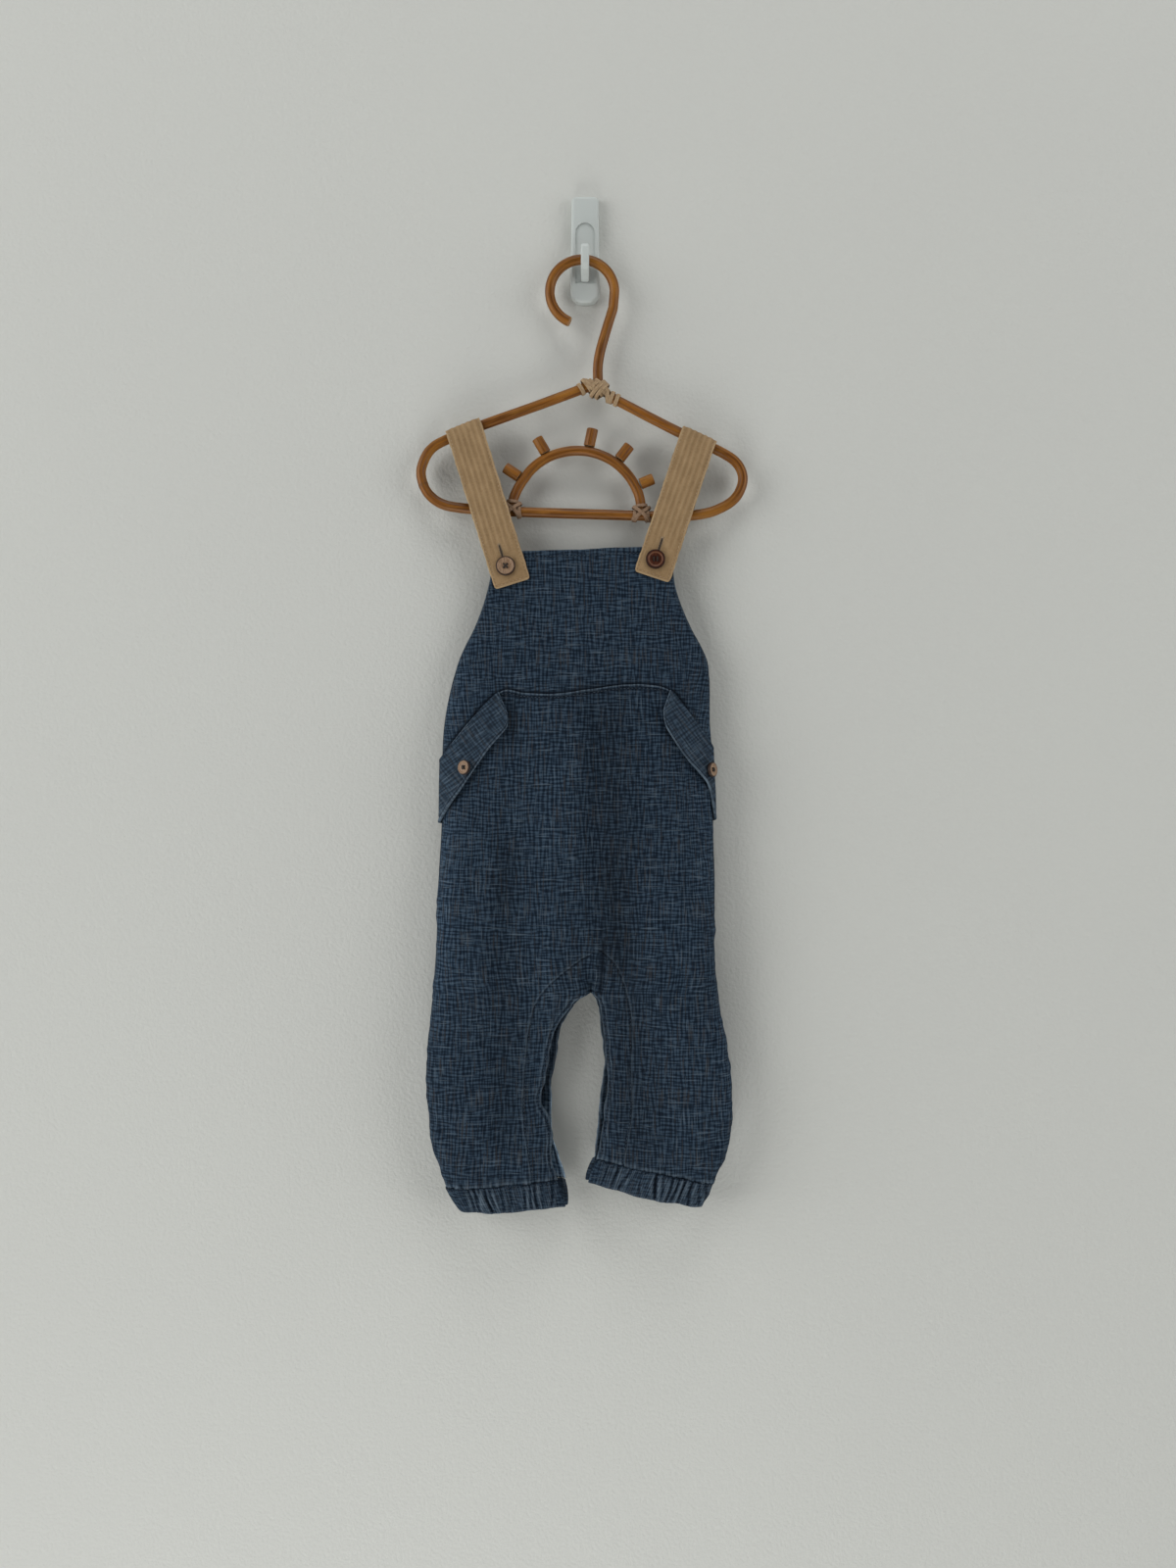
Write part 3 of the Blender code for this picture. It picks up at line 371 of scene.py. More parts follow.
def lineThrough(points, steps):  # a smooth line through a few points
    points = [np.array(p, float) for p in points]
    padded = [2 * points[0] - points[1]] + points + [2 * points[-1] - points[-2]]
    line = []
    for a, b, c, d in zip(padded, padded[1:], padded[2:], padded[3:]):
        for k in range(steps):
            u = k / steps
            line.append(0.5 * (2 * b + (c - a) * u + (2 * a - 5 * b + 4 * c - d) * u * u
                               + (3 * b - a - 3 * c + d) * u ** 3))
    return line + [points[-1]]


lap = {   # the left placket laps over the right one above the crotch
    "valley": ((15.2, -588), (14.2, -602), (13.3, -616), (11.4, -630)),
    "edge": ((12, -598), (10, -610), (9.3, -620), (7, -630)),
}
paintedShadeAndLightBands = (   # painted shade and painted light: broad soft darker and paler bands where the broad folds fall into shade and catch the light, in steps of doubling: x and z at the top and foot, half width, step
    (16, -384, 22, -520, 22, -0.55), (22, -520, 27, -612, 17, -0.75),
    (34, -622, 42, -766, 21, -0.45), (-64, -504, -68, -560, 10, -0.5),
    (-68, -566, -64, -750, 13, -0.3), (-60, -386, -60, -420, 5, -0.5),
    (-30, -560, -36, -740, 10, 0.22), (-120, -400, -124, -640, 16, 0.45),
    (-98, -300, -114, -400, 12, 0.2), (104, -400, 108, -560, 16, 0.3),
    (116, -600, 122, -740, 12, 0.25), (-26, -440, -26, -520, 14, 0.18),
    (-92, -768, -56, -780, 16, 0.2),
)


def placketAway(side, x, z):  # signed distance to the placket's line, from 1 inside to 3 outside; 2 is on it
    line = placketLines[side]
    best = distanceTo(line, x, z)
    beyond = distanceTo([(px + (-0.4 if side == "left" else 0.4), pz + 0.3) for px, pz in line], x, z)
    return 2 + np.clip(best * np.where(beyond < best, 1, -1) / 8, -1, 1)


placketLines = {side: [tuple(p) for p in lineThrough(placket[side], 4)] for side in halves}
gathers = {"count": 30, "legDepth": 1.5, "legReach": 8.0, "fine": 78}


def gatherWave(share, sharp=1.0):  # uneven gathers round a leg's hem, from 0 in a valley to 1 on a ridge
    phase = share * gathers["count"] + 0.55 * np.sin(share * 37.0 + 0.7) + 0.34 * np.sin(share * 71.0)
    uneven = 0.62 + 0.38 * np.sin(share * 47.0 + 2.0) * np.sin(share * 21.0 + 0.4)
    return 1 - uneven + uneven * np.abs(np.cos(np.pi * phase)) ** sharp


def finePleats(share):  # the small ticks that the elastic draws up beside the cuff's seam
    phase = share * gathers["fine"] + 0.6 * np.sin(share * 53.0) + 0.5 * np.sin(share * 97.0 + 1.0)
    return np.sin(2 * np.pi * phase) * (0.65 + 0.35 * np.sin(share * 61.0))


def roll(d, place, width):
    return np.exp(-((d - place) / width) ** 2)


def rolls(d, *ridges):  # ridges and grooves at a distance d from a seam: strength, place and width of each
    return sum(strength * roll(d, place, width) for strength, place, width in ridges)


def seamDistances(side, face, t, z):
    p = plainSurface(side, face, t, z)
    x, step = p[..., 0], 0.01
    atSide = plainSurface(side, face, np.zeros_like(t), z)
    found = {"side": np.hypot(x - atSide[..., 0], p[..., 1] - atSide[..., 1])}
    if face == "front":
        after, before = np.minimum(t + step, 1), np.maximum(t - step, 0)
        slope = pouchZ(side, after) - pouchZ(side, before)
        run = np.abs(plainSurface(side, face, after, z)[..., 0] - plainSurface(side, face, before, z)[..., 0]) + 1e-6
        found["pouch"] = np.abs(z - pouchZ(side, t)) / np.sqrt(1 + (slope / run) ** 2)
    edgeX = inseamX(side, face, z)
    edgeSlope = (inseamX(side, face, z - 1) - inseamX(side, face, np.minimum(z + 1, garment["crotchZ"]))) / 2
    found["inseam"] = np.where(z < garment["crotchZ"] - 0.5, np.abs(x - edgeX) / np.sqrt(1 + edgeSlope ** 2),
                               np.hypot(x - garment["centreX"], z - garment["crotchZ"]))
    found["hem"] = z - hemZ(side, t)
    found["top"] = levelZ("bibTop" if face == "front" else "backTop", side, t) - z
    found["placket"] = distanceTo(placketLines[side], x, z)
    found["armhole"] = np.where(z > garment["underarmZ"] - 2, found["side"], 1e3)
    return x, found


def clothRelief(part, side, face, t, z):  # how far the cloth stands off its plain form, and its wear with painted shade and painted highlight
    x, d = seamDistances(side, face, t, z)
    inner = np.clip(d["side"] / 6, 0, 1)
    high = (crumpleHeight(x, z, 0 if face == "front" else 2.1) - foldDepth(creases[face], x, z)) * inner
    # paler values are wear on edges and ridges with painted highlight; darker values are painted shade in grooves,
    # folds, the lap valley and under rolled seams
    worn = 0.6 * roll(d["armhole"], 0.3, 0.9) * (z > garment["underarmZ"]) + 0.18 * roll(d["side"], 0.5, 1.2)
    if part == "bib":
        ticks = np.sin(x / 0.75 + 2 * np.sin(x / 5)) * (0.6 + 0.4 * np.sin(x / 3.1))
        high += rolls(d["top"], (0.35, 0.8, 1.2), (-0.4, 5.2, 0.9)) + 0.16 * ticks * roll(d["top"], 3, 3.4)
        high -= 0.3 * roll(d["pouch"], 0, 1.4)
        worn += rolls(d["top"], (0.4, 0.2, 0.8), (-0.6, 5.2, 0.5), (0.2, 6.2, 0.6))
        worn += 0.3 * ticks * roll(d["top"], 3.2, 2.6) - 0.85 * roll(d["pouch"], 1, 1.3)
    if part == "trousers":
        pucker = np.sin(z / 1.9 + x / 2.7) * 0.5 + np.sin(z / 3.1 - x / 2.2 + 1) * 0.5
        shown = ease(z, -745, -670)
        valley, edge = distanceTo(lap["valley"], x, z), distanceTo(lap["edge"], x, z)
        high += rolls(d["pouch"], (0.5, 1, 0.9), (-0.3, 2.6, 0.6), (0.25, 3.8, 0.8))
        high += rolls(d["placket"], (0.35, 2.2, 1.2), (-0.7, 0, 1)) * shown
        high += 0.3 * pucker * roll(d["placket"], 0, 4.5) - 1.9 * roll(valley, 0, 2.3) + 0.8 * roll(edge, 0, 1.3)
        worn += rolls(d["pouch"], (1, 0.7, 0.85), (-0.95, 3.1, 1.5))
        worn += rolls(d["placket"], (0.26, 1.9, 0.9), (-0.5, 0, 1)) * shown
        worn += 0.6 * roll(edge, 0, 0.6) - 0.95 * roll(valley, 0, 2.2)
    if part != "bib":
        share = t * 0.5 if face == "front" else 1 - t * 0.5
        fall = np.exp(-np.maximum(d["hem"], 0) / gathers["legReach"])
        wave = gatherWave(share + 0.0006 * d["hem"], 0.6) - 0.7
        fine = finePleats(share) * np.exp(-np.maximum(d["hem"], 0) / 3.2)
        frayed = 0.55 + 0.3 * np.sin(x / 1.7 + 2 * np.sin(x / 6)) + 0.15 * np.sin(x / 0.9)
        high += rolls(d["inseam"], (0.5, 0.7, 0.9), (-0.35, 2.3, 0.6), (0.3, 3.7, 0.8))
        high += (gathers["legDepth"] * wave * fall + 0.6 * fine) * inner
        worn += rolls(d["inseam"], (1, 0.5, 1.2), (-0.85, 2.5, 0.8), (0.6, 4, 0.8))
        worn += 1.1 * frayed * roll(d["hem"], 1.7, 1.4) - 0.7 * roll(d["hem"], 0, 0.6)
        worn += (0.5 * np.clip(fine, -1, 1) - 0.7 * np.clip(-wave - 0.1, 0, 1) * fall) * inner
    return high, np.clip(worn, -1, 1)


def clothPoint(part, side, face, t, z, lift=0.0):
    t, z = np.broadcast_arrays(np.asarray(t, float), np.asarray(z, float))
    normal = plainNormal(side, face, t, z)
    high = clothRelief(part, side, face, t, z)[0]
    return plainSurface(side, face, t, z) + normal * (high + lift)[..., None], normal


# Meshes from grids

def linked(name, data):
    made = bpy.data.objects.new(name, data)
    bpy.context.collection.objects.link(made)
    return made


def meshObject(name, verts, faces, uvs=None, values=None, weld=0.0):
    mesh = bpy.data.meshes.new(name)
    mesh.from_pydata([tuple(v) for v in np.asarray(verts) * mm], [], faces)
    for key, found in (values or {}).items():
        mesh.attributes.new(key, "FLOAT", "POINT").data.foreach_set("value", np.asarray(found, float))
    if uvs is not None:
        layer = mesh.uv_layers.new(name="cloth")
        loopVerts = np.zeros(len(mesh.loops), int)
        mesh.loops.foreach_get("vertex_index", loopVerts)
        layer.data.foreach_set("uv", (np.asarray(uvs) * mm)[loopVerts].ravel())
    build = bmesh.new()
    build.from_mesh(mesh)
    if weld:
        bmesh.ops.remove_doubles(build, verts=build.verts, dist=weld * mm)
    bmesh.ops.recalc_face_normals(build, faces=build.faces)
    build.to_mesh(mesh)
    build.free()
    mesh.shade_smooth()
    return linked(name, mesh)


def clothShell(name, grids, weld=0.002):
    # each grid has outer and inner points, uv, wear with painted shade and painted highlight, and the open edges that
    # get a rim
    verts, uvs, faces, values = [], [], [], {"worn": [], "tone": [], "line": []}
    for grid in grids:
        rows, cols = grid["outer"].shape[:2]
        start = sum(len(v) for v in verts)
        size = rows * cols
        verts += [grid["outer"].reshape(-1, 3), grid["inner"].reshape(-1, 3)]
        uvs += [grid["uv"].reshape(-1, 2)] * 2
        for key, found in values.items():
            found += [np.asarray(grid.get(key, np.zeros((rows, cols))), float).ravel()] * 2
        index = np.arange(size).reshape(rows, cols) + start
        quads = np.stack((index[:-1, :-1], index[1:, :-1], index[1:, 1:], index[:-1, 1:]), axis=-1).reshape(-1, 4)
        faces += quads.tolist() + (quads[:, ::-1] + size).tolist()
        for path in grid["rims"]:
            line = [index[i, j] for i, j in path]
            faces += [[a, b, b + size, a + size] for a, b in zip(line, line[1:])]
    values = {key: np.concatenate(found) for key, found in values.items() if np.any(found[0])}
    return meshObject(name, np.concatenate(verts), faces, np.concatenate(uvs), values, weld)


def rimPaths(rows, cols, openInnerFrom=0):
    innerEdge = [(i, cols - 1) for i in range(openInnerFrom, rows)]
    paths = [[(0, j) for j in range(cols)], [(rows - 1, j) for j in range(cols)], [(i, 0) for i in range(rows)]]
    return paths + ([innerEdge] if len(innerEdge) > 1 else [])


def sheetGrid(outer, inner, uv, worn):  # a grid for the shell with rims on all four sides
    return {"outer": outer, "inner": inner, "uv": uv, "worn": np.clip(worn, -1, 1), "rims": rimPaths(*outer.shape[:2])}


def clothPanel(name, part, face, columns, rows, crotchRow=None):
    grids, half = [], panels["thickness"] / 2
    for side in halves:
        z = np.stack([height(side, np.array(columns)) for height in rows])
        t = np.broadcast_to(np.array(columns), z.shape)
        grids.append({"side": side, "z": z, "base": plainSurface(side, face, t, z),
                      "normal": plainNormal(side, face, t, z), "relief": clothRelief(part, side, face, t, z)})
    joined = len(rows) if crotchRow is None else crotchRow + 1
    left, right = grids
    shift = (right["base"][:joined, -1] - left["base"][:joined, -1]) / 2
    near = ease(np.array(columns), 0.75, 1)[None, :, None]
    middle = unit(left["normal"][:joined, -1] + right["normal"][:joined, -1])
    level = (left["relief"][0][:joined, -1] + right["relief"][0][:joined, -1]) / 2
    for grid, way in zip(grids, (1, -1)):   # the halves meet at the middle
        grid["base"][:joined] += way * shift[:, None] * near
        grid["normal"][:joined, -1] = middle
        high, grid["worn"] = grid["relief"]
        high[:joined, -1] = level
        rimAt = np.zeros(high.shape, bool)
        rimAt[0], rimAt[-1], rimAt[:, 0] = True, True, True
        rimAt[joined - 1:, -1] = crotchRow is not None
        thick = half * np.where(rimAt, 0.62, 1)
        centre = grid["base"] + grid["normal"] * (high - half)[..., None]
        grid["outer"], grid["inner"] = (centre + grid["normal"] * (way * thick)[..., None] for way in (1, -1))
        away = np.linalg.norm(np.diff(grid["base"], axis=1), axis=-1)[:, ::-1].cumsum(axis=1)[:, ::-1]
        away = np.concatenate((away, np.zeros((len(away), 1))), axis=1)
        x, z, innerX = grid["base"][..., 0], grid["z"], inseamX(grid["side"], face, grid["z"][:, -1:])
        grid["uv"] = np.stack((innerX + (away if grid["side"] == "right" else -away), z), axis=-1)
        # painted shade and painted light of the broad folds
        grid["tone"] = foldDepth(paintedShadeAndLightBands, x, z)
        if part == "trousers":
            grid["line"] = placketAway(grid["side"], x, z)
        if part == "back":   # painted light: what shows of the back between the legs lies in shade, and is made paler
            inside = ease(np.abs(x - innerX), 16, 5) * ease(z, -700, -735)
            grid["tone"] = panels["insidePaintedLight"][grid["side"]] * inside
        grid["rims"] = rimPaths(*high.shape, joined - 1 if crotchRow is not None else len(rows))
    return clothShell(name, grids)


def heightsBetween(above, below, count, fineTop=(), fineFoot=()):
    rows = [lambda side, t, d=d: above(side, t) - d for d in fineTop]
    firstDrop, lastRise = (max(fineTop) if fineTop else 0.0), (max(fineFoot) if fineFoot else 0.0)
    start = 1 if fineTop else 0
    for k in range(start, count + (0 if fineFoot else 1)):
        share = k / count
        rows.append(lambda side, t, s=share: (above(side, t) - firstDrop) * (1 - s) + (below(side, t) + lastRise) * s)
    return rows + [lambda side, t, d=d: below(side, t) + d for d in sorted(fineFoot, reverse=True)]


def columnShares(count):
    shares = [1 - (1 - k / count) ** 1.25 for k in range(count + 1)]
    shares = [0.0, 0.012, 0.025, 0.04] + [s for s in np.linspace(0, 1, count + 1) if 0.05 < s < 0.955]
    return shares + [0.965, 0.974, 0.982, 0.989, 0.995, 1.0]


fineEdge = (0.0, 0.5, 1.0, 1.6, 2.3, 3.1, 4.2, 5.4)
panels = {"bib": {"columns": 66, "rows": 64}, "trousers": {"columns": 66, "upper": 118, "lower": 92},
          "back": {"columns": 54, "upper": 150, "lower": 74}, "thickness": 1.3,
          "insidePaintedLight": {"left": 1.6, "right": 0.6}}
gap = garment["seamGap"] / 2


def crotchLine(side, t):
    return garment["crotchZ"] + 0 * t


def legRows(top, upper, lower):
    above = heightsBetween(top, crotchLine, upper, fineEdge)
    arch = [0.002, 0.005, 0.009, 0.014, 0.02, 0.027, 0.035, 0.044, 0.055, 0.067]
    arch += list(np.linspace(0.08, 0.955, lower)) + [0.965, 0.974, 0.982, 0.989, 0.995, 1]
    below = [lambda side, t, s=s: crotchLine(side, t) * (1 - s) + hemZ(side, t) * s for s in arch]
    return above + below, len(above) - 1


def makePanels(material):
    bibRows = heightsBetween(lambda s, t: levelZ("bibTop", s, t), lambda s, t: pouchZ(s, t) + gap,
                             panels["bib"]["rows"], fineEdge, (0, 0.7, 1.6, 2.8))
    tops = {"trousers": lambda s, t: pouchZ(s, t) - gap, "back": lambda s, t: levelZ("backTop", s, t)}
    made = []
    for name, part, face, node in (("bibCloth", "bib", "front", "bib_front"),
                                   ("trouserCloth", "trousers", "front", "trouser_front"),
                                   ("backCloth", "back", "back", "back")):
        size = panels[part]
        rows, crotchRow = (bibRows, None) if part == "bib" else legRows(tops[part], size["upper"], size["lower"])
        piece = clothPanel(name, part, face, columnShares(size["columns"]), rows, crotchRow)
        made.append(dress(piece, node, material))
    return made


def dress(piece, node, material):  # a finished piece takes its node's place
    piece.data.materials.clear()
    piece.data.materials.append(material)
    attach(piece, "root")
    if node:
        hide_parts(*([node] if isinstance(node, str) else node))
    return piece


# Pocket flaps

flapTable = {   # share of the way from the front to the side, x and z of the line it hangs from and of its free edge
    "left": ((0, -71.5, -380.2, -64.4, -398), (0.07, -75, -382.6, -63.9, -405),
             (0.12, -77.6, -385.2, -64.6, -409.6), (0.17, -80.2, -387.6, -67.4, -413.2),
             (0.30, -86.6, -394.4, -76.4, -424), (0.50, -95.8, -406, -89.4, -442.4),
             (0.70, -105.2, -417.4, -101.4, -460.4), (0.85, -112.8, -426.4, -111, -473.8),
             (1, -119.8, -435.4, -120.6, -489.5)),
    "right": ((0, 70.4, -378.6, 64.4, -395), (0.08, 73.6, -381, 65, -404.6),
              (0.25, 80.4, -389.6, 73, -420.6), (0.45, 88.2, -400, 84.6, -437.4),
              (0.65, 95.6, -410, 93.6, -447.8), (0.82, 101, -417.2, 101.8, -459.4),
              (1, 105.4, -425.6, 108, -490)),
    "liftTop": 0.8, "liftFree": 2.8, "thickness": 2, "rows": 44, "columns": 70, "depth": 36, "length": 70,
}


def flapPoint(side, across, down, lift):
    rows = flapTable[side]
    across, down = np.broadcast_arrays(np.asarray(across, float), np.asarray(down, float))
    xTop, zTop, xFree, zFree = (smoothCurve([r[0] for r in rows], [r[k] for r in rows], across) for k in range(1, 5))
    x, z = xTop + (xFree - xTop) * down, zTop + (zFree - zTop) * down
    t = shareAcross(side, "front", x, z)
    free = 1 - 0.85 * ease(across, 0.55, 1.0)
    standOff = flapTable["liftTop"] + (flapTable["liftFree"] - flapTable["liftTop"]) * free * down ** 1.4
    normal = plainNormal(side, "front", t, z)
    return plainSurface(side, "front", t, z) + normal * (standOff + lift)[..., None], normal, x, z


def makeFlap(side, material):
    across = 1 - (1 - np.linspace(0, 1, flapTable["columns"])) ** 1.6
    down = np.concatenate(((0, 0.012, 0.025, 0.04, 0.06), np.linspace(0.08, 0.9, flapTable["rows"]),
                           1 - np.array((0.075, 0.055, 0.038, 0.024, 0.012, 0))))
    across, down = np.meshgrid(across, down)
    fromTop = down * flapTable["depth"]
    edge = np.minimum(flapTable["depth"] - fromTop, across * flapTable["length"])
    _, _, x, z = flapPoint(side, across, down, 0 * down)
    high = crumpleHeight(x * 1.1, z * 1.1, 4) * 0.8 * ease(down, 0, 0.3) * ease(across, 1, 0.8)
    high += rolls(edge, (0.45, 0.9, 0.9), (-0.35, 2.9, 0.7), (0.12, 4.4, 0.9)) + 0.25 * roll(fromTop, 0.5, 1.2)
    # wear and painted shade: a pale worn edge, painted shade in the groove inside it and along the top where the flap
    # hangs
    worn = rolls(edge, (1, 0.1, 1), (-0.75, 2.1, 0.55), (0.55, 3.5, 0.6)) - 0.6 * roll(fromTop, 0, 0.8)
    thin = np.full(high.shape, 0.35)
    thin[1:-1, 1:-1] = 0
    outer = flapPoint(side, across, down, flapTable["thickness"] + np.maximum(high, -0.4) - thin)[0]
    inner = flapPoint(side, across, down, thin - 0.1)[0]
    uv = np.stack((x * 0.8 + z * 0.6, z * 0.8 - x * 0.6), axis=-1)
    shell = clothShell(f"flapCloth_{side}", [sheetGrid(outer, inner, uv, worn)])
    return dress(shell, f"flap_{side}", material)


# Gathered cuffs

cuff = {"fall": {"left": (19.8, 22.6), "right": (20.4, 20.2)}, "sway": {"left": (12.0, 3.4), "right": (-9.4, -7.0)},
        "lean": {"left": 0.010, "right": -0.012}, "curl": {"left": 4.0, "right": 0}, "wall": 2.2, "depth": 2.6,
        "high": 20, "columns": 460,
        "rows": (0, 0.03, 0.07, 0.12, 0.2, 0.3, 0.4, 0.5, 0.6, 0.7, 0.8, 0.87, 0.92, 0.96, 0.985, 1)}
cuffFolds = {   # x of each fold's groove at the seam and at the foot, and its depth
    "left": ((-97.1, -90, 1.5), (-93.2, -86.9, 2.2), (-89.2, -85.6, 1.6), (-83.7, -75.8, 2.4), (-79.3, -73.9, 1.3),
             (-69.5, -67.9, 0.9), (-62.4, -61.9, 0.6), (-52.1, -48.2, 0.9), (-47, -43.4, 1.3), (-42.9, -39.1, 2.2),
             (-36.3, -35.5, 0.7), (-26.8, -29.2, 0.9)),
    "right": ((19, 13.5, 0.8), (27.7, 22.2, 1.3), (38.8, 27.7, 1.7), (48.2, 44.3, 0.7), (60.4, 56.6, 2.4),
              (66.4, 61.7, 0.9), (73.5, 66.4, 2.3), (77.5, 70.8, 2), (82.5, 77.5, 1.2), (89.3, 85, 2),
              (95.6, 93.3, 1), (101.5, 97.5, 0.8)),
}


def cuffGrooves(side, x, down):  # depth below the cloth of the folds that show, from their own lines, with painted shade in their grooves and painted highlight on their ridges
    high, worn = np.zeros(x.shape), np.zeros(x.shape)
    for number, (top, foot, depth) in enumerate(cuffFolds[side]):
        away = x - top - (foot - top) * down - 0.8 * np.sin(down * 4 + number)
        width = 0.9 + 0.25 * depth
        strength = depth * (0.75 + 0.25 * np.sin(down * 3 + 1.7 * number))
        ridge = roll(away, 1.9 * width, 1.1 * width) + 0.7 * roll(away, -1.9 * width, 1.2 * width)
        high += strength * (0.45 * ridge - roll(away, 0, width))
        worn += np.minimum(strength, 1.6) * (0.6 * ridge - roll(away, 0, 0.85 * width))
    return high, worn


def cuffPath(side, count):
    fine = 400
    outward = np.linspace(0, 1, fine + 1)
    inward = 1 - np.arange(fine) / fine
    points = np.concatenate((plainSurface(side, "front", inward, hemZ(side, inward)),
                             plainSurface(side, "back", outward, hemZ(side, outward))))
    length = lengthAlong(points)
    at = np.linspace(0, length[-1], count + 1)
    places = rowsAt(at, length, points)
    hemShare = np.interp(at, length, np.concatenate((inward * 0.5, 1 - outward * 0.5)))
    along = np.gradient(places, axis=0)
    normals = unit(np.stack((along[:, 1], -along[:, 0], np.zeros(len(places))), axis=1))
    return places, (normals if side == "right" else -normals), at, hemShare


def cuffShape(side):
    places, normals, length, hemShare = cuffPath(side, cuff["columns"])
    outerX = places[np.argmax(np.abs(places[:, 0] - garment["centreX"])), 0]
    inward = (places[:, 0] - outerX) / (places[0, 0] - outerX)
    sway, drop = (pair[side][0] + (pair[side][1] - pair[side][0]) * inward for pair in (cuff["sway"], cuff["fall"]))
    down = np.array(cuff["rows"])[:, None]
    fromSeam, toFoot = down * cuff["high"], (1 - down) * cuff["high"]
    moved = sway * down + cuff["curl"][side] * np.exp(-length / 9)[None] * ease(down, 0.2, 1)
    ripple = (0.7 * np.sin(length / 11) + 0.35 * np.sin(length / 3.9))[None] * down
    spot = places[None] - np.array((0, 0, 0.04)) + np.stack((moved, 0 * moved, ripple - drop * down), axis=-1)
    turned = np.sin(np.pi * np.minimum(2 * hemShare, 2 - 2 * hemShare))[None]
    share = hemShare[None] + cuff["lean"][side] * down * turned
    wave, small = gatherWave(share, 0.55), finePleats(share + 0.004 * down)
    waist = np.sin(np.pi * down) ** 0.6
    near = np.exp(-fromSeam / 3) + 0.6 * np.exp(-toFoot / 3)
    frontSide = ease(normals[:, 1], 0.35, -0.1)[None]
    grooves, grooveShadeAndHighlight = cuffGrooves(side, spot[..., 0], down * np.ones(len(places)))
    swell = 0.35 * (wave - 0.62) * frontSide + (wave - 0.62) * (1 - frontSide)
    high = 1.3 * waist + (cuff["depth"] * swell + grooves * frontSide) * (0.4 + 0.6 * waist) + 0.35 * small * near
    high = np.clip(high + rolls(fromSeam, (0.35, 1, 0.9), (-0.4, 0, 0.8)), -1.3, 3.2)
    # painted highlight on the gathers' ridges with wear at the foot; painted shade in the gathers' valleys and under
    # the seam
    worn = 0.3 * roll(toFoot, 0.4, 0.8) + 1.54 * np.clip(wave - 0.86, 0, 1) * waist + 0.55 * small * near
    worn = worn * (1 - 0.6 * frontSide) - 2.47 * np.clip(0.72 - wave, 0, 1) * (1 - 0.85 * frontSide)
    worn = worn + (grooveShadeAndHighlight * (0.5 + 0.5 * waist) + 0.3 * roll(toFoot, 0.6, 1)) * frontSide
    worn = worn - 0.5 * roll(fromSeam, 0, 1)
    return spot, np.broadcast_to(normals[None], spot.shape), high, worn, length, down


def makeCuff(side, material):
    spot, normals, high, worn, length, down = cuffShape(side)
    thin = np.zeros(high.shape)
    thin[0], thin[-1], thin[:, 0], thin[:, -1] = 0.5, 0.5, 0.4, 0.4
    outer = spot + normals * (high - thin)[..., None]
    inner = spot - normals * (cuff["wall"] - 0.8 * np.sin(np.pi * down) - thin)[..., None]
    uv = np.stack((np.broadcast_to(length * 1.7, high.shape), spot[..., 2]), axis=-1)
    shell = clothShell(f"cuffCloth_{side}", [sheetGrid(outer, inner, uv, worn)])
    return dress(shell, f"cuff_{side}", material)


# Straps

strap = {
    "left": {"armX": -101.6, "end": (-60.6, -289.0), "button": (-66.5, -273.9), "shift": 0},
    "right": {"armX": 94.9, "end": (56.0, -283.0), "button": (58.8, -268.7), "shift": 3},
    "backEndZ": -304.0, "thick": 1.8, "width": 31.5, "lift": 0.6, "ribs": 5, "ribHeight": 0.42, "plainEnd": 30.0,
    "probes": (-15.7, -8.0, 0.0, 8.0, 15.7), "backDrop": ((-196.0, -8.2), (-226.0, -7.0)),
    "step": 1.15, "across": 44, "corner": 2.8, "buttonholeRise": 5.0, "buttonholeLength": 13.5,
}
cane = {"radius": 4.25, "arcRadius": 4.2, "y": -15.0}
frameRoute = (
    (4, -119.5), (-40, -135.8), (-87, -152.6), (-116, -164.2), (-130, -172.4), (-137, -184),
    (-138.8, -195.6), (-133.5, -209.6), (-121.9, -218.9), (-105.6, -222.6), (-80, -224.6), (-52, -226.2),
    (0, -227.8), (45, -229.2), (72, -229.7), (90.1, -229), (108.7, -225.4), (125, -216.5),
    (132.4, -204.9), (133.1, -193.6), (126.2, -182.4), (108.7, -172), (77.2, -157.4), (29.5, -132.8),
    (20.6, -128.3),
)


def faceY(side, face, x, z):
    return float(plainSurface(side, face, shareAcross(side, face, x, z), z)[..., 1])


def strapFrame(side):
    upper = np.array([p for p in lineThrough(frameRoute, 8) if p[1] > -180])
    upper = upper[np.argsort(upper[:, 0])]
    reach, x = strap["width"] / 2 * 0.9, strap[side]["armX"]
    low, middle, high = (np.array((at, np.interp(at, upper[:, 0], upper[:, 1]))) for at in (x - reach, x, x + reach))
    ahead = (high - low) / np.linalg.norm(high - low)
    end = np.array(strap[side]["end"])
    run = (end - middle) / np.linalg.norm(end - middle)
    return middle, end, run, np.array((-run[1], run[0])), ahead


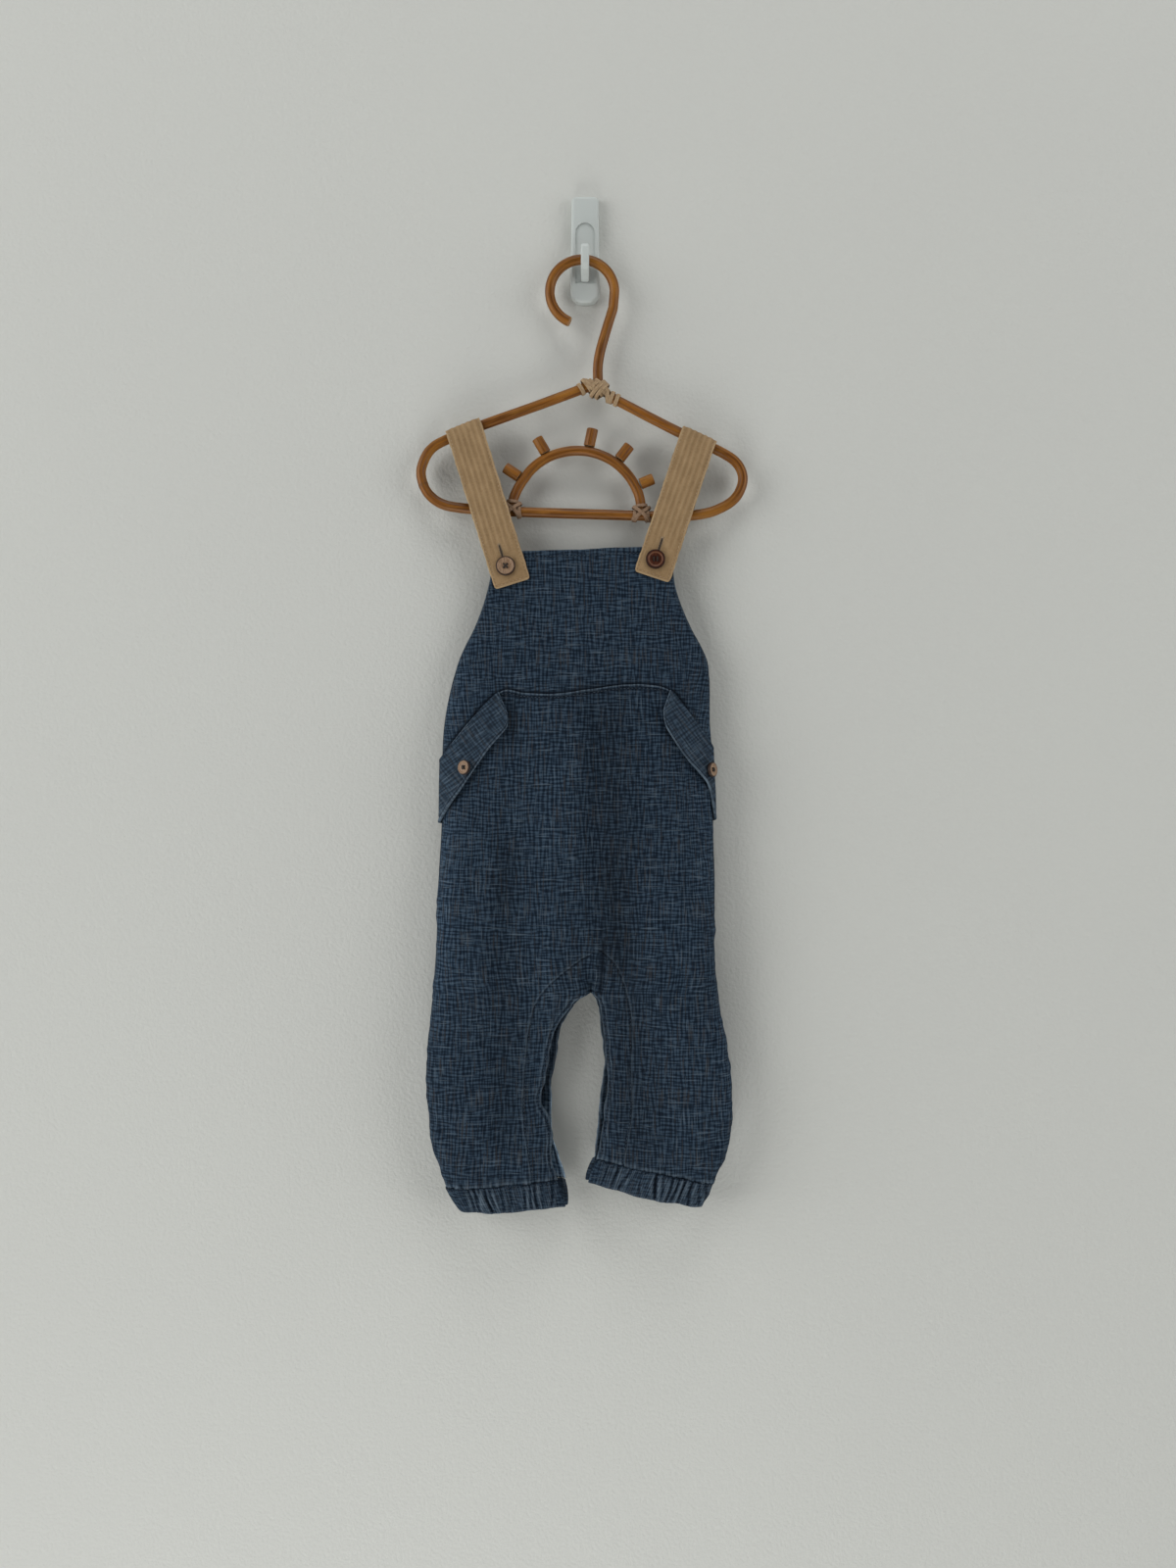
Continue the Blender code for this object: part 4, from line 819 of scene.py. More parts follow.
def strapStations(side):  # middle, width direction and outward direction along the strap, front end first
    arm, end, run, square, ahead = strapFrame(side)
    half = strap["thick"] / 2
    wrap = cane["radius"] + strap["lift"] + half
    length = np.linalg.norm(end - arm)
    bibTop = float(levelZ("bibTop", side, 0.5))
    topY = cane["y"] - wrap
    liftY = min(faceY(side, "front", end[0] - run[0] * 24 + square[0] * w, bibTop)
                for w in (-10, 0, 10, 15)) - strap["lift"] - half
    stations = []
    for share in np.linspace(1.0, 0.055, 15):
        middle = arm + run * length * share
        if middle[1] < bibTop:
            y = min(faceY(side, "front", middle[0] + square[0] * w, middle[1] + square[1] * w)
                    for w in strap["probes"]) - strap["lift"] - half
            y = min(y, liftY)
        else:
            y = liftY + (topY - liftY) * (middle[1] - bibTop) / (arm[1] - bibTop)
        width = square + (ahead - square) * ease(share, 0.45, 0.0)
        stations.append(((middle[0], y, middle[1]), (width[0], 0, width[1]), (0, -1, 0)))
    rise = np.array((-ahead[1], ahead[0]))
    for degrees in (20, 50, 80, 100, 130, 160):
        angle = math.radians(degrees)
        way = (rise[0] * math.sin(angle), -math.cos(angle), rise[1] * math.sin(angle))
        centre = np.array((arm[0], cane["y"], arm[1])) + np.array(way) * wrap
        stations.append((tuple(centre), (ahead[0], 0, ahead[1]), way))
    backYs = [(-168, cane["y"] + wrap), *strap["backDrop"]]
    for z in (-266, -285, strap["backEndZ"]):
        middleX = arm[0] + run[0] * (z - arm[1]) / run[1]
        nearest = min(faceY(side, "back", middleX + w, z) for w in strap["probes"])
        backYs.append((z, nearest - 1.6 - strap["lift"] - half))
    for z in np.linspace(-172, strap["backEndZ"], 9):
        middle = arm + run * ((z - arm[1]) / run[1])
        y = float(smoothCurve([row[0] for row in backYs], [row[1] for row in backYs], z))
        width = square + (ahead - square) * ease(z, -220, -165)
        stations.append(((middle[0], y, z), (width[0], 0, width[1]), (0, 1, 0)))
    centres, widths, ways = (np.array([row[k] for row in stations], float) for k in range(3))
    along = lengthAlong(centres)
    fine = np.append(np.arange(0, along[-1], strap["step"]), along[-1])
    centres, widths, ways = (np.stack([smoothCurve(along, rows[:, k], fine) for k in range(3)], axis=1)
                             for rows in (centres, widths, ways))
    along = unit(np.gradient(centres, axis=0))
    widths = unit(widths - along * (widths * along).sum(axis=1)[:, None])
    facing = np.cross(widths, along)
    facing *= np.sign((facing * ways).sum(axis=1))[:, None]
    return centres, widths, facing, fine


def strapPoint(side, stations, run, across, lift=0.0):  # a place on the strap's outer face, and the way out
    *shape, fine = stations
    run, across = np.broadcast_arrays(np.asarray(run, float), np.asarray(across, float))
    centre, width, out = (rowsAt(run, fine, rows) for rows in shape)
    high, worn = strapRelief(side, run, across, fine[-1])
    return centre + width * across[..., None] + out * (strap["thick"] / 2 + high + lift)[..., None], out, worn


def strapRelief(side, run, across, length):
    edge, end = strap["width"] / 2 - np.abs(across), np.minimum(run, length - run)
    near = np.minimum(edge, end)
    ribbed = ease(run, strap["plainEnd"] * 0.55, strap["plainEnd"] * 1.5) * ease(length - run, 0, 30)
    ribs = np.cos(2 * np.pi * (across + 0.5 * np.sin(run / 23)) / (strap["width"] - 7.5) * strap["ribs"])
    high = strap["ribHeight"] * ribbed * (0.5 + 0.5 * ribs) * ease(edge, 2, 4.5)
    high += rolls(near, (-0.28, 2.4, 0.7), (-0.2, 0, 0.5)) + 0.1 * np.sin(run / 7.3 + across / 9 + strap[side]["shift"])
    high += 0.05 * np.sin(run / 1.9 + across / 2.3) * roll(near, 2.4, 2.5)
    # wear and painted shade: pale worn edges, painted shade in the groove by the stitching, painted highlight on rib
    # tops and painted shade in their hollows
    worn = rolls(near, (0.6, 0.3, 0.9), (-0.5, 2.4, 0.45)) + 0.28 * ribbed * ribs
    return high, np.clip(worn, -1, 1)


def makeStrap(side, stations, material):
    *shape, fine = stations
    half, corner = strap["width"] / 2, strap["corner"]
    across = np.concatenate(((-half, 0.35 - half, 0.8 - half), np.linspace(1.3 - half, half - 1.3, strap["across"]),
                             (half - 0.8, half - 0.35, half)))
    run = np.concatenate(([0, 0.4], fine[1:-1], [fine[-1] - 0.4, fine[-1]]))
    trim = corner - np.sqrt(np.maximum(corner ** 2 - np.maximum(corner - run, 0) ** 2, 0))
    ragged = 0.18 * np.sin(run / 3.7 + (0 if side == "left" else 2)) + 0.12 * np.sin(run / 1.3)
    across = across[None] * (1 - (trim + ragged + 0.2) / half)[:, None]
    outer, out, worn = strapPoint(side, stations, run[:, None], across)
    edge = half - np.abs(across)
    thin = 0.5 * roll(edge, 0, 0.35) + 0.5 * roll(np.minimum(run, run[-1] - run), 0, 0.3)[:, None]
    outer = outer - out * np.minimum(thin, 0.55)[..., None]
    centre, width, facing = (rowsAt(run, fine, rows)[:, None] for rows in shape)
    inner = centre + width * across[..., None] - facing * (strap["thick"] / 2 - np.minimum(thin, 0.5))[..., None]
    uv = np.stack(np.broadcast_arrays(across, run[:, None]), axis=-1).astype(float)
    shell = clothShell(f"strapCloth_{side}", [sheetGrid(outer, inner, uv, worn)])
    return dress(shell, f"strap_{side}", material)


# Stitches: short lens-shaped dashes laid along lines on the cloth

stitch = {"length": 2.3, "gap": 0.9, "width": 0.5, "height": 0.24, "lift": 0.12, "top": 5.2, "armhole": 3.2,
          "pouch": 3.3, "inseam": {"front": (1.9, 4.6), "back": (3.2,)}, "flap": 3.4, "flapShare": 0.049,
          "flapLift": 0.15, "strap": 2.4}


def dashes(points, normals, length=stitch["length"], gapLength=stitch["gap"], width=stitch["width"]):
    points, normals = np.asarray(points, float), np.asarray(normals, float)
    way = lengthAlong(points)
    starts = np.arange(0, way[-1] - length, length + gapLength)
    low, high, middle = (rowsAt(starts + length * share, way, points) for share in (0, 1, 0.5))
    out = unit(rowsAt(starts + length / 2, way, normals))
    side = unit(np.cross(out, high - low)) * width / 2
    tall = out * stitch["height"]
    corners = (low - out * 0.05, high - out * 0.05, middle - side, middle + side, middle + tall, middle - tall)
    return np.stack(corners, axis=1)


def stitchPiece(name, runs, material):
    shapes = np.concatenate([dashes(*run) for run in runs])
    diamond = ((0, 2, 4), (2, 1, 4), (1, 3, 4), (3, 0, 4), (2, 0, 5), (1, 2, 5), (3, 1, 5), (0, 3, 5))
    faces = [tuple(6 * k + corner for corner in face) for k in range(len(shapes)) for face in diamond]
    return dress(meshObject(name, shapes.reshape(-1, 3), faces), None, material)


def shareFrom(side, face, z, distance, inner=False):  # the t at a distance along the cloth from its side or inner edge
    reach = np.linspace(0, 0.4, 160)
    t = (1 - reach if inner else reach)[None] + 0 * z[:, None]
    line = plainSurface(side, face, t, z[:, None] + 0 * t)
    return np.array([np.interp(distance, lengthAlong(points), row) for points, row in zip(line, t)])


def makeStitches(threads, stations):
    fine = np.linspace(0, 1, 160)
    for face, top, upper in (("front", "bibTop", "bib"), ("back", "backTop", "back")):
        runs, lower = [], "trousers" if face == "front" else "back"
        for side in halves:
            sew = lambda part, t, z: runs.append(clothPoint(part, side, face, t, z, stitch["lift"]))
            topZ = levelZ(top, side, fine)
            sew(upper, fine, topZ - stitch["top"])
            start = float(topZ[0]) - 5 if face == "front" else -280
            heights = np.linspace(start, garment["underarmZ"] - 14, 60)
            sew(upper, shareFrom(side, face, heights, stitch["armhole"]), heights)
            heights = np.linspace(-650, float(hemZ(side, 1)) + 3, 90)
            for inward in stitch["inseam"][face]:
                sew(lower, shareFrom(side, face, heights, inward, True), heights)
            if face == "front":
                sew(lower, fine, pouchZ(side, fine) - stitch["pouch"])
                x, z = np.array(placketLines[side]).T
                sew(lower, shareAcross(side, face, x, z), z)
                lift, foot = flapTable["thickness"] + stitch["flapLift"], 1 - stitch["flap"] / flapTable["depth"]
                runs.append(flapPoint(side, np.linspace(0.05, 1, 120), np.full(120, foot), lift)[:2])
                runs.append(flapPoint(side, np.full(20, stitch["flapShare"]), np.linspace(0.03, foot, 20), lift)[:2])
                runs += [cuffLine(side, share, 0.1) for share in (0.085, 0.9)]
        stitchPiece(f"{face}Stitches", runs, threads["blue"])
    for side in halves:
        start, half = stitch["strap"], strap["width"] / 2 - stitch["strap"]
        end = stations[side][3][-1] - 3
        path = [(run, -half) for run in np.arange(end, start, -1.5)] + [(start, a) for a in np.arange(-half, half, 1.5)]
        run, across = np.array(path + [(run, half) for run in np.arange(start, end, 1.5)]).T
        place, out, _ = strapPoint(side, stations[side], run, across, 0.08)
        stitchPiece(f"strapStitches_{side}", [(place, out)], threads["buff"])


def cuffLine(side, share, lift):
    spot, normals, high, _, _, down = cuffShape(side)
    row = int(np.argmin(np.abs(down[:, 0] - share)))
    return spot[row] + normals[row] * (high[row] + lift)[:, None], normals[row]


# Cane hanger

crook = {"centre": (-2.5, -39.7), "radius": 27.4, "tipDegrees": 248.6,
         "neck": ((23.7, -53.6), (17.9, -72.2), (12.7, -90.9), (10.8, -104.8), (11.4, -122))}
sunArc = (
    (-61.2, -221), (-61, -217), (-59.7, -212.4), (-56.7, -205.8), (-51.9, -198.2), (-45.2, -189.8),
    (-36.7, -182.9), (-27.1, -177.9), (-15.7, -174.9), (-6.2, -174.2), (3.3, -175), (12.9, -177.7),
    (22.4, -182.2), (30, -187.9), (36.9, -195.3), (41.7, -202.9), (45.2, -210.6), (47, -218), (47.4, -224.6),
)
rays = {"radius": 4.75, "rows": (   # the middle of each outer end, the direction in degrees and the length
    (-67.7, -188.4, 146.5, 14.1), (-40.6, -163.8, 120.7, 14), (6.4, -155.9, 78.5, 14.7),
    (37.6, -170, 52.7, 14.1), (57.6, -197.9, 22.7, 11.5))}


def around(centre, radius, degrees):
    return [(centre[0] + radius * math.cos(math.radians(d)), centre[1] + radius * math.sin(math.radians(d)))
            for d in degrees]


def crookRoute():
    turn = around(crook["centre"], crook["radius"], np.linspace(crook["tipDegrees"], 0, 60))
    return turn + [tuple(p) for p in lineThrough(crook["neck"], 8)]


def clearSelection():
    if bpy.context.object and bpy.context.object.mode != "OBJECT":
        bpy.ops.object.mode_set(mode="OBJECT")
    bpy.ops.object.select_all(action="DESELECT")


def settle(piece):  # puts a finished piece's place in its mesh
    clearSelection()
    piece.select_set(True)
    bpy.context.view_layer.objects.active = piece
    bpy.ops.object.transform_apply(location=True, rotation=True, scale=True)
    return piece


def meshPlaces(mesh):  # the places of a mesh's points in metres
    places = np.zeros(len(mesh.vertices) * 3)
    mesh.vertices.foreach_get("co", places)
    return places.reshape(-1, 3)


def mark(mesh, **values):  # gives each point of a mesh a number or a vector
    for name, found in values.items():
        found = np.asarray(found, float)
        kind, field = ("FLOAT_VECTOR", "vector") if found.ndim > 1 else ("FLOAT", "value")
        mesh.attributes.new(name, kind, "POINT").data.foreach_set(field, found.ravel())


def makeCylinder(name, vertices, radius, depth, place=(0, 0, 0)):
    clearSelection()
    bpy.ops.mesh.primitive_cylinder_add(vertices=vertices, radius=radius * mm, depth=depth * mm,
                                        location=[v * mm for v in place])
    piece = bpy.context.object
    piece.name = piece.data.name = name
    return piece


def modify(piece, kind, **settings):
    change = piece.modifiers.new(kind.lower(), kind)
    for key, value in settings.items():
        setattr(change, key, value)
    bpy.ops.object.modifier_apply(modifier=change.name)


def roundEdges(piece, degrees):
    modify(piece, "BEVEL", width=0.55 * mm, segments=3, limit_method="ANGLE", angle_limit=math.radians(degrees))


def editFaces(piece, chosen):  # goes into edit mode with the chosen faces picked
    bpy.ops.object.mode_set(mode="EDIT")
    bpy.ops.mesh.select_mode(type="FACE")
    bpy.ops.mesh.select_all(action="DESELECT")
    shape = bmesh.from_edit_mesh(piece.data)
    for face in shape.faces:
        face.select_set(chosen(face))
    bmesh.update_edit_mesh(piece.data)


def makeCane(name, route, radius, knots, seed, node, material):
    rng = np.random.default_rng(seed)
    route = np.array(route, float)
    way = lengthAlong(route)
    at = np.linspace(0, way[-1], int(way[-1] / 1.6) + 2)
    line = rowsAt(at, way, route)
    clearSelection()
    bpy.ops.curve.primitive_nurbs_path_add(location=(0, 0, 0))
    piece = bpy.context.object
    piece.name = piece.data.name = name
    curve = piece.data
    curve.splines.clear()
    spline = curve.splines.new("POLY")
    spline.points.add(len(line) - 1)
    thickness = 1 + 0.012 * np.sin(at / 17 + rng.uniform(0, 6)) + 0.006 * np.sin(at / 6.1 + rng.uniform(0, 6))
    for knot in knots:
        thickness += rolls(at - knot, (0.05, 0, 1.5), (-0.022, 3, 1.4))
    ends = np.minimum(at, at[-1] - at)
    thickness -= 0.14 * roll(ends, 0, 0.5)
    for point, (x, z), thick in zip(spline.points, line, thickness):
        point.co, point.radius = (x * mm, cane["y"] * mm, z * mm, 1), thick
    curve.dimensions, curve.twist_mode = "3D", "MINIMUM"
    curve.bevel_depth, curve.bevel_resolution, curve.use_fill_caps = radius * mm, 5, True
    bpy.ops.object.convert(target="MESH")
    piece = bpy.context.object
    places = meshPlaces(piece.data) / mm
    nearest = np.argmin(((places[:, None, (0, 2)] - line[None]) ** 2).sum(axis=-1), axis=1)
    ahead = unit(np.gradient(line, axis=0))[nearest]
    out = ((places[:, (0, 2)] - line[nearest]) * np.stack((-ahead[:, 1], ahead[:, 0]), axis=1)).sum(axis=1)
    deep = places[:, 1] - cane["y"]
    knotted = sum((roll(at[nearest], knot, 0.7) for knot in knots), np.zeros(len(places)))
    mark(piece.data, grain=np.stack((out, deep, at[nearest] + seed * 90), axis=1) * mm, knot=np.clip(knotted, 0, 1),
         cut=roll(ends[nearest], 0, 0.4) * (np.hypot(out, deep) < radius * 0.93))
    bpy.ops.object.shade_smooth_by_angle(angle=math.radians(50))
    return dress(piece, node, material)


def makeRay(number, x, z, degrees, length, material):
    piece = makeCylinder(f"sunRay_{number}", 28, rays["radius"], length)
    editFaces(piece, lambda face: abs(face.normal.z) > 0.9)
    for inset in (0.5, 2.0):
        bpy.ops.mesh.inset(thickness=inset * mm, use_individual=True)
    bpy.ops.object.mode_set(mode="OBJECT")
    roundEdges(piece, 50)
    places = meshPlaces(piece.data)
    ends = (np.abs(places[:, 2]) > (length / 2 - 0.05) * mm) & (np.hypot(places[:, 0], places[:, 1]) < 4.3 * mm)
    mark(piece.data, grain=places + np.array((0, 0, number * 0.037)), cut=ends, knot=np.zeros(len(places)))
    bpy.ops.object.shade_smooth_by_angle(angle=math.radians(40))
    angle = math.radians(degrees)
    piece.location = Vector((x - length / 2 * math.cos(angle), cane["y"], z - length / 2 * math.sin(angle))) * mm
    piece.rotation_euler = (0, math.pi / 2 - angle, 0)
    settle(piece)
    return dress(piece, f"hanger_ray_{number}", material)


def makeHanger(material):
    makeCane("crookCane", crookRoute(), cane["radius"], (), 1, "hanger_crook", material)
    makeCane("frameCane", lineThrough(frameRoute, 10), cane["radius"], (178,), 2, "hanger_frame", material)
    makeCane("arcCane", lineThrough(sunArc, 8), cane["arcRadius"], (), 3, "hanger_sun_arc", material)
    for number, row in enumerate(rays["rows"], 1):
        makeRay(number, *row, material)


# Split-cane lashings: flat strips wound round the canes

lashing = {"width": 3.4, "thick": 0.75}


def strip(points, outs, width=lashing["width"]):  # a flat strip along a path; its own grid for the shell
    points, outs = np.asarray(points, float), np.asarray(outs, float)
    along = unit(np.gradient(points, axis=0))
    outs = unit(outs - along * (outs * along).sum(axis=1)[:, None])
    across = np.array((-1, -0.86, -0.5, 0, 0.5, 0.86, 1)) * width / 2
    crown = np.array((0, 0.75, 0.95, 1, 0.95, 0.75, 0))
    spread = points[:, None] + np.cross(outs, along)[:, None] * across[None, :, None]
    outer = spread + outs[:, None] * (lashing["thick"] * (0.35 + 0.65 * crown))[None, :, None]
    inner = spread + outs[:, None] * 0.05 * lashing["thick"]
    uv = np.stack(np.broadcast_arrays(across[None], lengthAlong(points)[:, None]), axis=-1).astype(float)
    return sheetGrid(outer, inner, uv, np.zeros(outer.shape[:2]))


def hoop(centre, degrees, reach, depth, lift=0.0, bow=0.0):
    # a closed wind round the canes at centre (x, z): it crosses the front along a direction, reach to each side
    angles = np.linspace(0, 2 * np.pi, 50)
    way = np.array((math.cos(math.radians(degrees)), 0, math.sin(math.radians(degrees))))
    square = np.array((-way[2], 0, way[0]))
    sine, cosine = np.sin(angles)[:, None], np.cos(angles)[:, None]
    flat = np.sign(sine) * np.abs(sine) ** 0.85
    places = np.array((centre[0], cane["y"], centre[1])) + way * (reach * flat) + square * (bow * (1 - sine ** 2))
    places = places + np.array((0, -1, 0)) * ((depth + lift) * np.sign(cosine) * np.abs(cosine) ** 0.8)
    out = way * sine * depth + np.array((0, -1, 0)) * cosine * reach
    return places, out


def routeSpot(route, x):  # place and direction in degrees on a route at an x
    route = np.array(sorted((tuple(p) for p in route), key=lambda p: p[0]))
    z = np.interp(x, route[:, 0], route[:, 1])
    rise = np.interp(x + 1, route[:, 0], route[:, 1]) - np.interp(x - 1, route[:, 0], route[:, 1])
    return (x, z), math.degrees(math.atan2(rise, 2.0))


lashingTable = {   # centre, direction across the front, reach to each side, lift over the winds below
    "neck": (((1.6, -119.6), -52, 6.6, 0.0), ((4.2, -120.6), -46, 8.2, 0.1), ((7.2, -121.2), -42, 9.6, 0.2),
             ((10.6, -121.0), -40, 9.8, 0.4), ((14.4, -120.0), -42, 8.4, 0.5),
             ((11.0, -122.0), 46, 8.6, 1.3), ((14.2, -123.8), 48, 7.6, 1.2), ((8.4, -119.4), 44, 5.2, 0.9)),
    "arms": ((22.6, 96), (26.9, 96), (18.8, 96), (-3.4, 102)),   # x and lean of each single wind
    "foot": ((-5.6, 84, 0.0), (5.6, 96, 0.0), (0.0, 38, 0.7), (0.6, 142, 1.3), (-2.6, 60, 0.2), (2.8, 120, 0.3)),
}


def makeLashings(material, darkMaterial):
    line = lineThrough(frameRoute, 12)
    arms, bar = [p for p in line if p[1] > -200], [p for p in line if p[1] < -200]
    radius = cane["radius"] + 0.45
    neck = [strip(*hoop(centre, degrees, reach, radius + 0.7, lift))
            for centre, degrees, reach, lift in lashingTable["neck"]]
    for x, lean in lashingTable["arms"]:
        spot, degrees = routeSpot([p for p in arms if (p[0] > 12) == (x > 12)], x)
        neck.append(strip(*hoop(spot, degrees + lean, radius, radius, 0.1)))
    dress(clothShell("neckLashing", neck), "binding_neck", material)
    for side in halves:
        footX, footZ = sunArc[0] if side == "left" else sunArc[-1]
        turned = -1 if side == "left" else 1
        winds = []
        for shift, degrees, lift in lashingTable["foot"]:
            spot, slope = routeSpot(bar, footX + shift * turned)
            reach = radius / max(abs(math.sin(math.radians(degrees))), 0.55)
            rise = 1.6 if lift > 0.5 else 0.0
            lean = slope + (degrees if turned > 0 else 180 - degrees)
            winds.append(strip(*hoop((spot[0], spot[1] + rise), lean, reach + rise, radius, lift), 2.9))
        reach = cane["arcRadius"] + 0.5
        winds.append(strip(*hoop((footX, footZ + 3.4), 6 * turned, reach, reach, 0.1), 2.6))
        dress(clothShell(f"footLashing_{side}", winds), f"binding_{side}", darkMaterial)


# Buttons: turned discs with a dished face, four holes and a cross of thread

button = {
    "strap": {"diameter": 16.3, "thick": 2.8, "rim": 1.7, "hole": 1.9, "spread": 2.1},
    "hip": {"diameter": 12.3, "thick": 2.4, "rim": 1.3, "hole": 1.5, "spread": 1.6},
    "hipPlaces": {"left": (0.62, 0.75), "right": (0.86, 0.56)},
    "hipLean": {"left": -20.0, "right": 13.0}, "hipStand": {"left": 1.6, "right": 0.8},
    "strapKinds": {"left": "coconut", "right": "dark_coconut"},
}


def makeButton(name, spec, place, normal, node, material, thread, crossed):
    radius, thick = spec["diameter"] / 2, spec["thick"]
    piece = makeCylinder(name, 56, radius, thick, (0, 0, thick / 2))
    bpy.ops.object.transform_apply(location=True)
    editFaces(piece, lambda face: abs(face.calc_center_median().z / mm - thick) < 0.05)
    bpy.ops.mesh.inset(thickness=spec["rim"] * mm)
    for inset, dish in ((0.7, 0.55), (1.1, 0.12)):
        bpy.ops.mesh.inset(thickness=inset * mm)
        bpy.ops.transform.translate(value=(0, 0, -dish * mm))
    bpy.ops.object.mode_set(mode="OBJECT")
    roundEdges(piece, 20)
    for angle in map(math.radians, (45, 135, 225, 315)):
        spot = (spec["spread"] * math.cos(angle), spec["spread"] * math.sin(angle), 0)
        drill = makeCylinder("drill", 20, spec["hole"] / 2, 4 * thick, spot)
        piece.select_set(True)
        bpy.context.view_layer.objects.active = piece
        modify(piece, "BOOLEAN", object=drill, operation="DIFFERENCE", solver="EXACT")
        bpy.data.objects.remove(drill, do_unlink=True)
    mark(piece.data, turned=meshPlaces(piece.data) / (radius * mm))
    bpy.ops.object.shade_smooth_by_angle(angle=math.radians(38))
    matrix = Matrix.Translation(Vector(place) * mm) @ Vector(normal).to_track_quat("Z", "Y").to_matrix().to_4x4()
    piece.matrix_world = matrix
    settle(piece)
    dress(piece, node, material)
    pairs = [((-1, -1), (1, 1)), ((1, -1), (-1, 1))] if crossed else [((-1, -1), (-1, 1)), ((1, -1), (1, 1))]
    turn, reach, seat = np.array(matrix.to_3x3()), spec["spread"] * 0.7071, thick - 0.62
    out = np.repeat((turn @ np.array((0, 0, 1)))[None], 9, axis=0)
    u = np.linspace(0, 1, 9)[:, None]
    strands = []
    for layer, pair in enumerate(pairs):
        for shift in (-0.28, 0, 0.28):
            start, end = (np.array((x * reach + shift, y * reach - shift * x * y, seat)) for x, y in pair)
            line = start + (end - start) * u
            line[:, 2] += 0.55 * np.sin(np.pi * u[:, 0]) ** 0.6 + 0.22 * layer - 0.5 * (np.abs(2 * u[:, 0] - 1) > 0.9)
            strands.append(strip(line @ turn.T + np.array(place, float), out, 0.42))
    dress(clothShell(f"{name}_thread", strands), None, thread)


def strapSpot(stations, x, z):  # the run and the place across the strap of a point given by x and z
    centres, widths, _, fine = stations
    front = fine < 175
    offset = np.stack((x - centres[front][:, 0], z - centres[front][:, 2]), axis=1)
    w = widths[front][:, (0, 2)]
    across = (offset * w).sum(axis=1) / (w * w).sum(axis=1)
    miss = np.linalg.norm(offset - w * across[:, None], axis=1)
    nearest = int(np.argmin(miss))
    return float(fine[front][nearest]), float(across[nearest])


def makeButtons(materials, threads, stations):
    for side in halves:
        x, z = strap[side]["button"]
        run, across = strapSpot(stations[side], x, z)
        place, out, _ = strapPoint(side, stations[side], run, across, strap["ribHeight"] * 0.4)
        slotName = button["strapKinds"][side]
        makeButton(f"strapDisc_{side}", button["strap"], place, out, f"strap_button_{side}",
                   materials[slotName], threads["dark"], side == "left")
        makeButtonhole(side, stations[side], run, across, threads)
        down = button["hipPlaces"][side]
        place, normal, _, _ = flapPoint(side, down[0], down[1], flapTable["thickness"] + button["hipStand"][side])
        lean = Matrix.Rotation(math.radians(button["hipLean"][side]), 3, "Z")
        makeButton(f"hipDisc_{side}", button["hip"], place, lean @ Vector(normal), f"hip_button_{side}",
                   materials["coconut"], threads["dark"], True)


def makeButtonhole(side, stations, run, across, threads):  # oversewn edges round a dark slit
    start, end = run + strap["buttonholeRise"], run + strap["buttonholeRise"] + strap["buttonholeLength"]
    at = np.linspace(start, end, 40)
    place, out, _ = strapPoint(side, stations, at, across + 0 * at, 0.02)
    # painted shade: the slit is a dark strip in the dark thread's finish, standing for the shade in the opening
    dress(clothShell(f"buttonholeSlit_{side}", [strip(place, out, 0.9)]), None, threads["dark"])
    bars = []
    for at in np.arange(start - 0.6, end + 0.6, 0.55):
        for edge in (-1, 1):
            u = across + edge * np.linspace(0.35, 1.75, 4)
            place, out, _ = strapPoint(side, stations, at + 0 * u, u, 0.1)
            bars.append((place, out, 1.35, 1.0, 0.5))
    for at in (start - 1.0, end + 1.0):
        u = np.linspace(across - 1.9, across + 1.9, 6)
        for shift in (-0.45, 0.0, 0.45):
            place, out, _ = strapPoint(side, stations, at + shift + 0 * u, u, 0.16)
            bars.append((place, out, 3.6, 1.0, 0.5))
    stitchPiece(f"buttonhole_{side}", bars, threads["buff"])


# Materials

colours = {
    "blueDark": (0.0020, 0.0050, 0.0105), "blueDeep": (0.0032, 0.0082, 0.0165), "blueMid": (0.0125, 0.0250, 0.0430),
    "blueLit": (0.0400, 0.0660, 0.0980), "bluePale": (0.115, 0.155, 0.195), "brownTouch": (0.050, 0.045, 0.041),
    "buffDark": (0.12, 0.070, 0.030), "buffDeep": (0.23, 0.146, 0.070), "buffMid": (0.375, 0.252, 0.132),
    "buffPale": (0.56, 0.43, 0.27), "caneDeep": (0.090, 0.026, 0.002), "caneMid": (0.235, 0.082, 0.007),
    "canePale": (0.44, 0.205, 0.034), "caneCut": (0.42, 0.27, 0.14), "stripDeep": (0.20, 0.115, 0.055),
    "stripPale": (0.50, 0.37, 0.22), "palmPale": (0.36, 0.24, 0.155),
    "wall": (0.60, 0.61, 0.575), "plastic": (0.52, 0.56, 0.54),
    "plasticSoil": (0.47, 0.50, 0.47), "wallPatch": (0.57, 0.575, 0.55), "caneMark": (0.035, 0.014, 0.006),
    "agedDeep": (0.12, 0.062, 0.036), "agedPale": (0.30, 0.19, 0.125), "palmTan": (0.20, 0.118, 0.066),
    "palmRim": (0.030, 0.016, 0.011), "darkPalmDeep": (0.028, 0.005, 0.001), "darkPalmPale": (0.080, 0.018, 0.004),
    "darkPalmRing": (0.19, 0.082, 0.042), "darkPalmRim": (0.016, 0.006, 0.003),
    "slateThread": ((0.02, 0.032, 0.05), (0.07, 0.10, 0.135)), "buffThread": ((0.25, 0.17, 0.095), (0.52, 0.41, 0.28)),
    "darkThread": ((0.012, 0.009, 0.007), (0.05, 0.036, 0.026)),
}


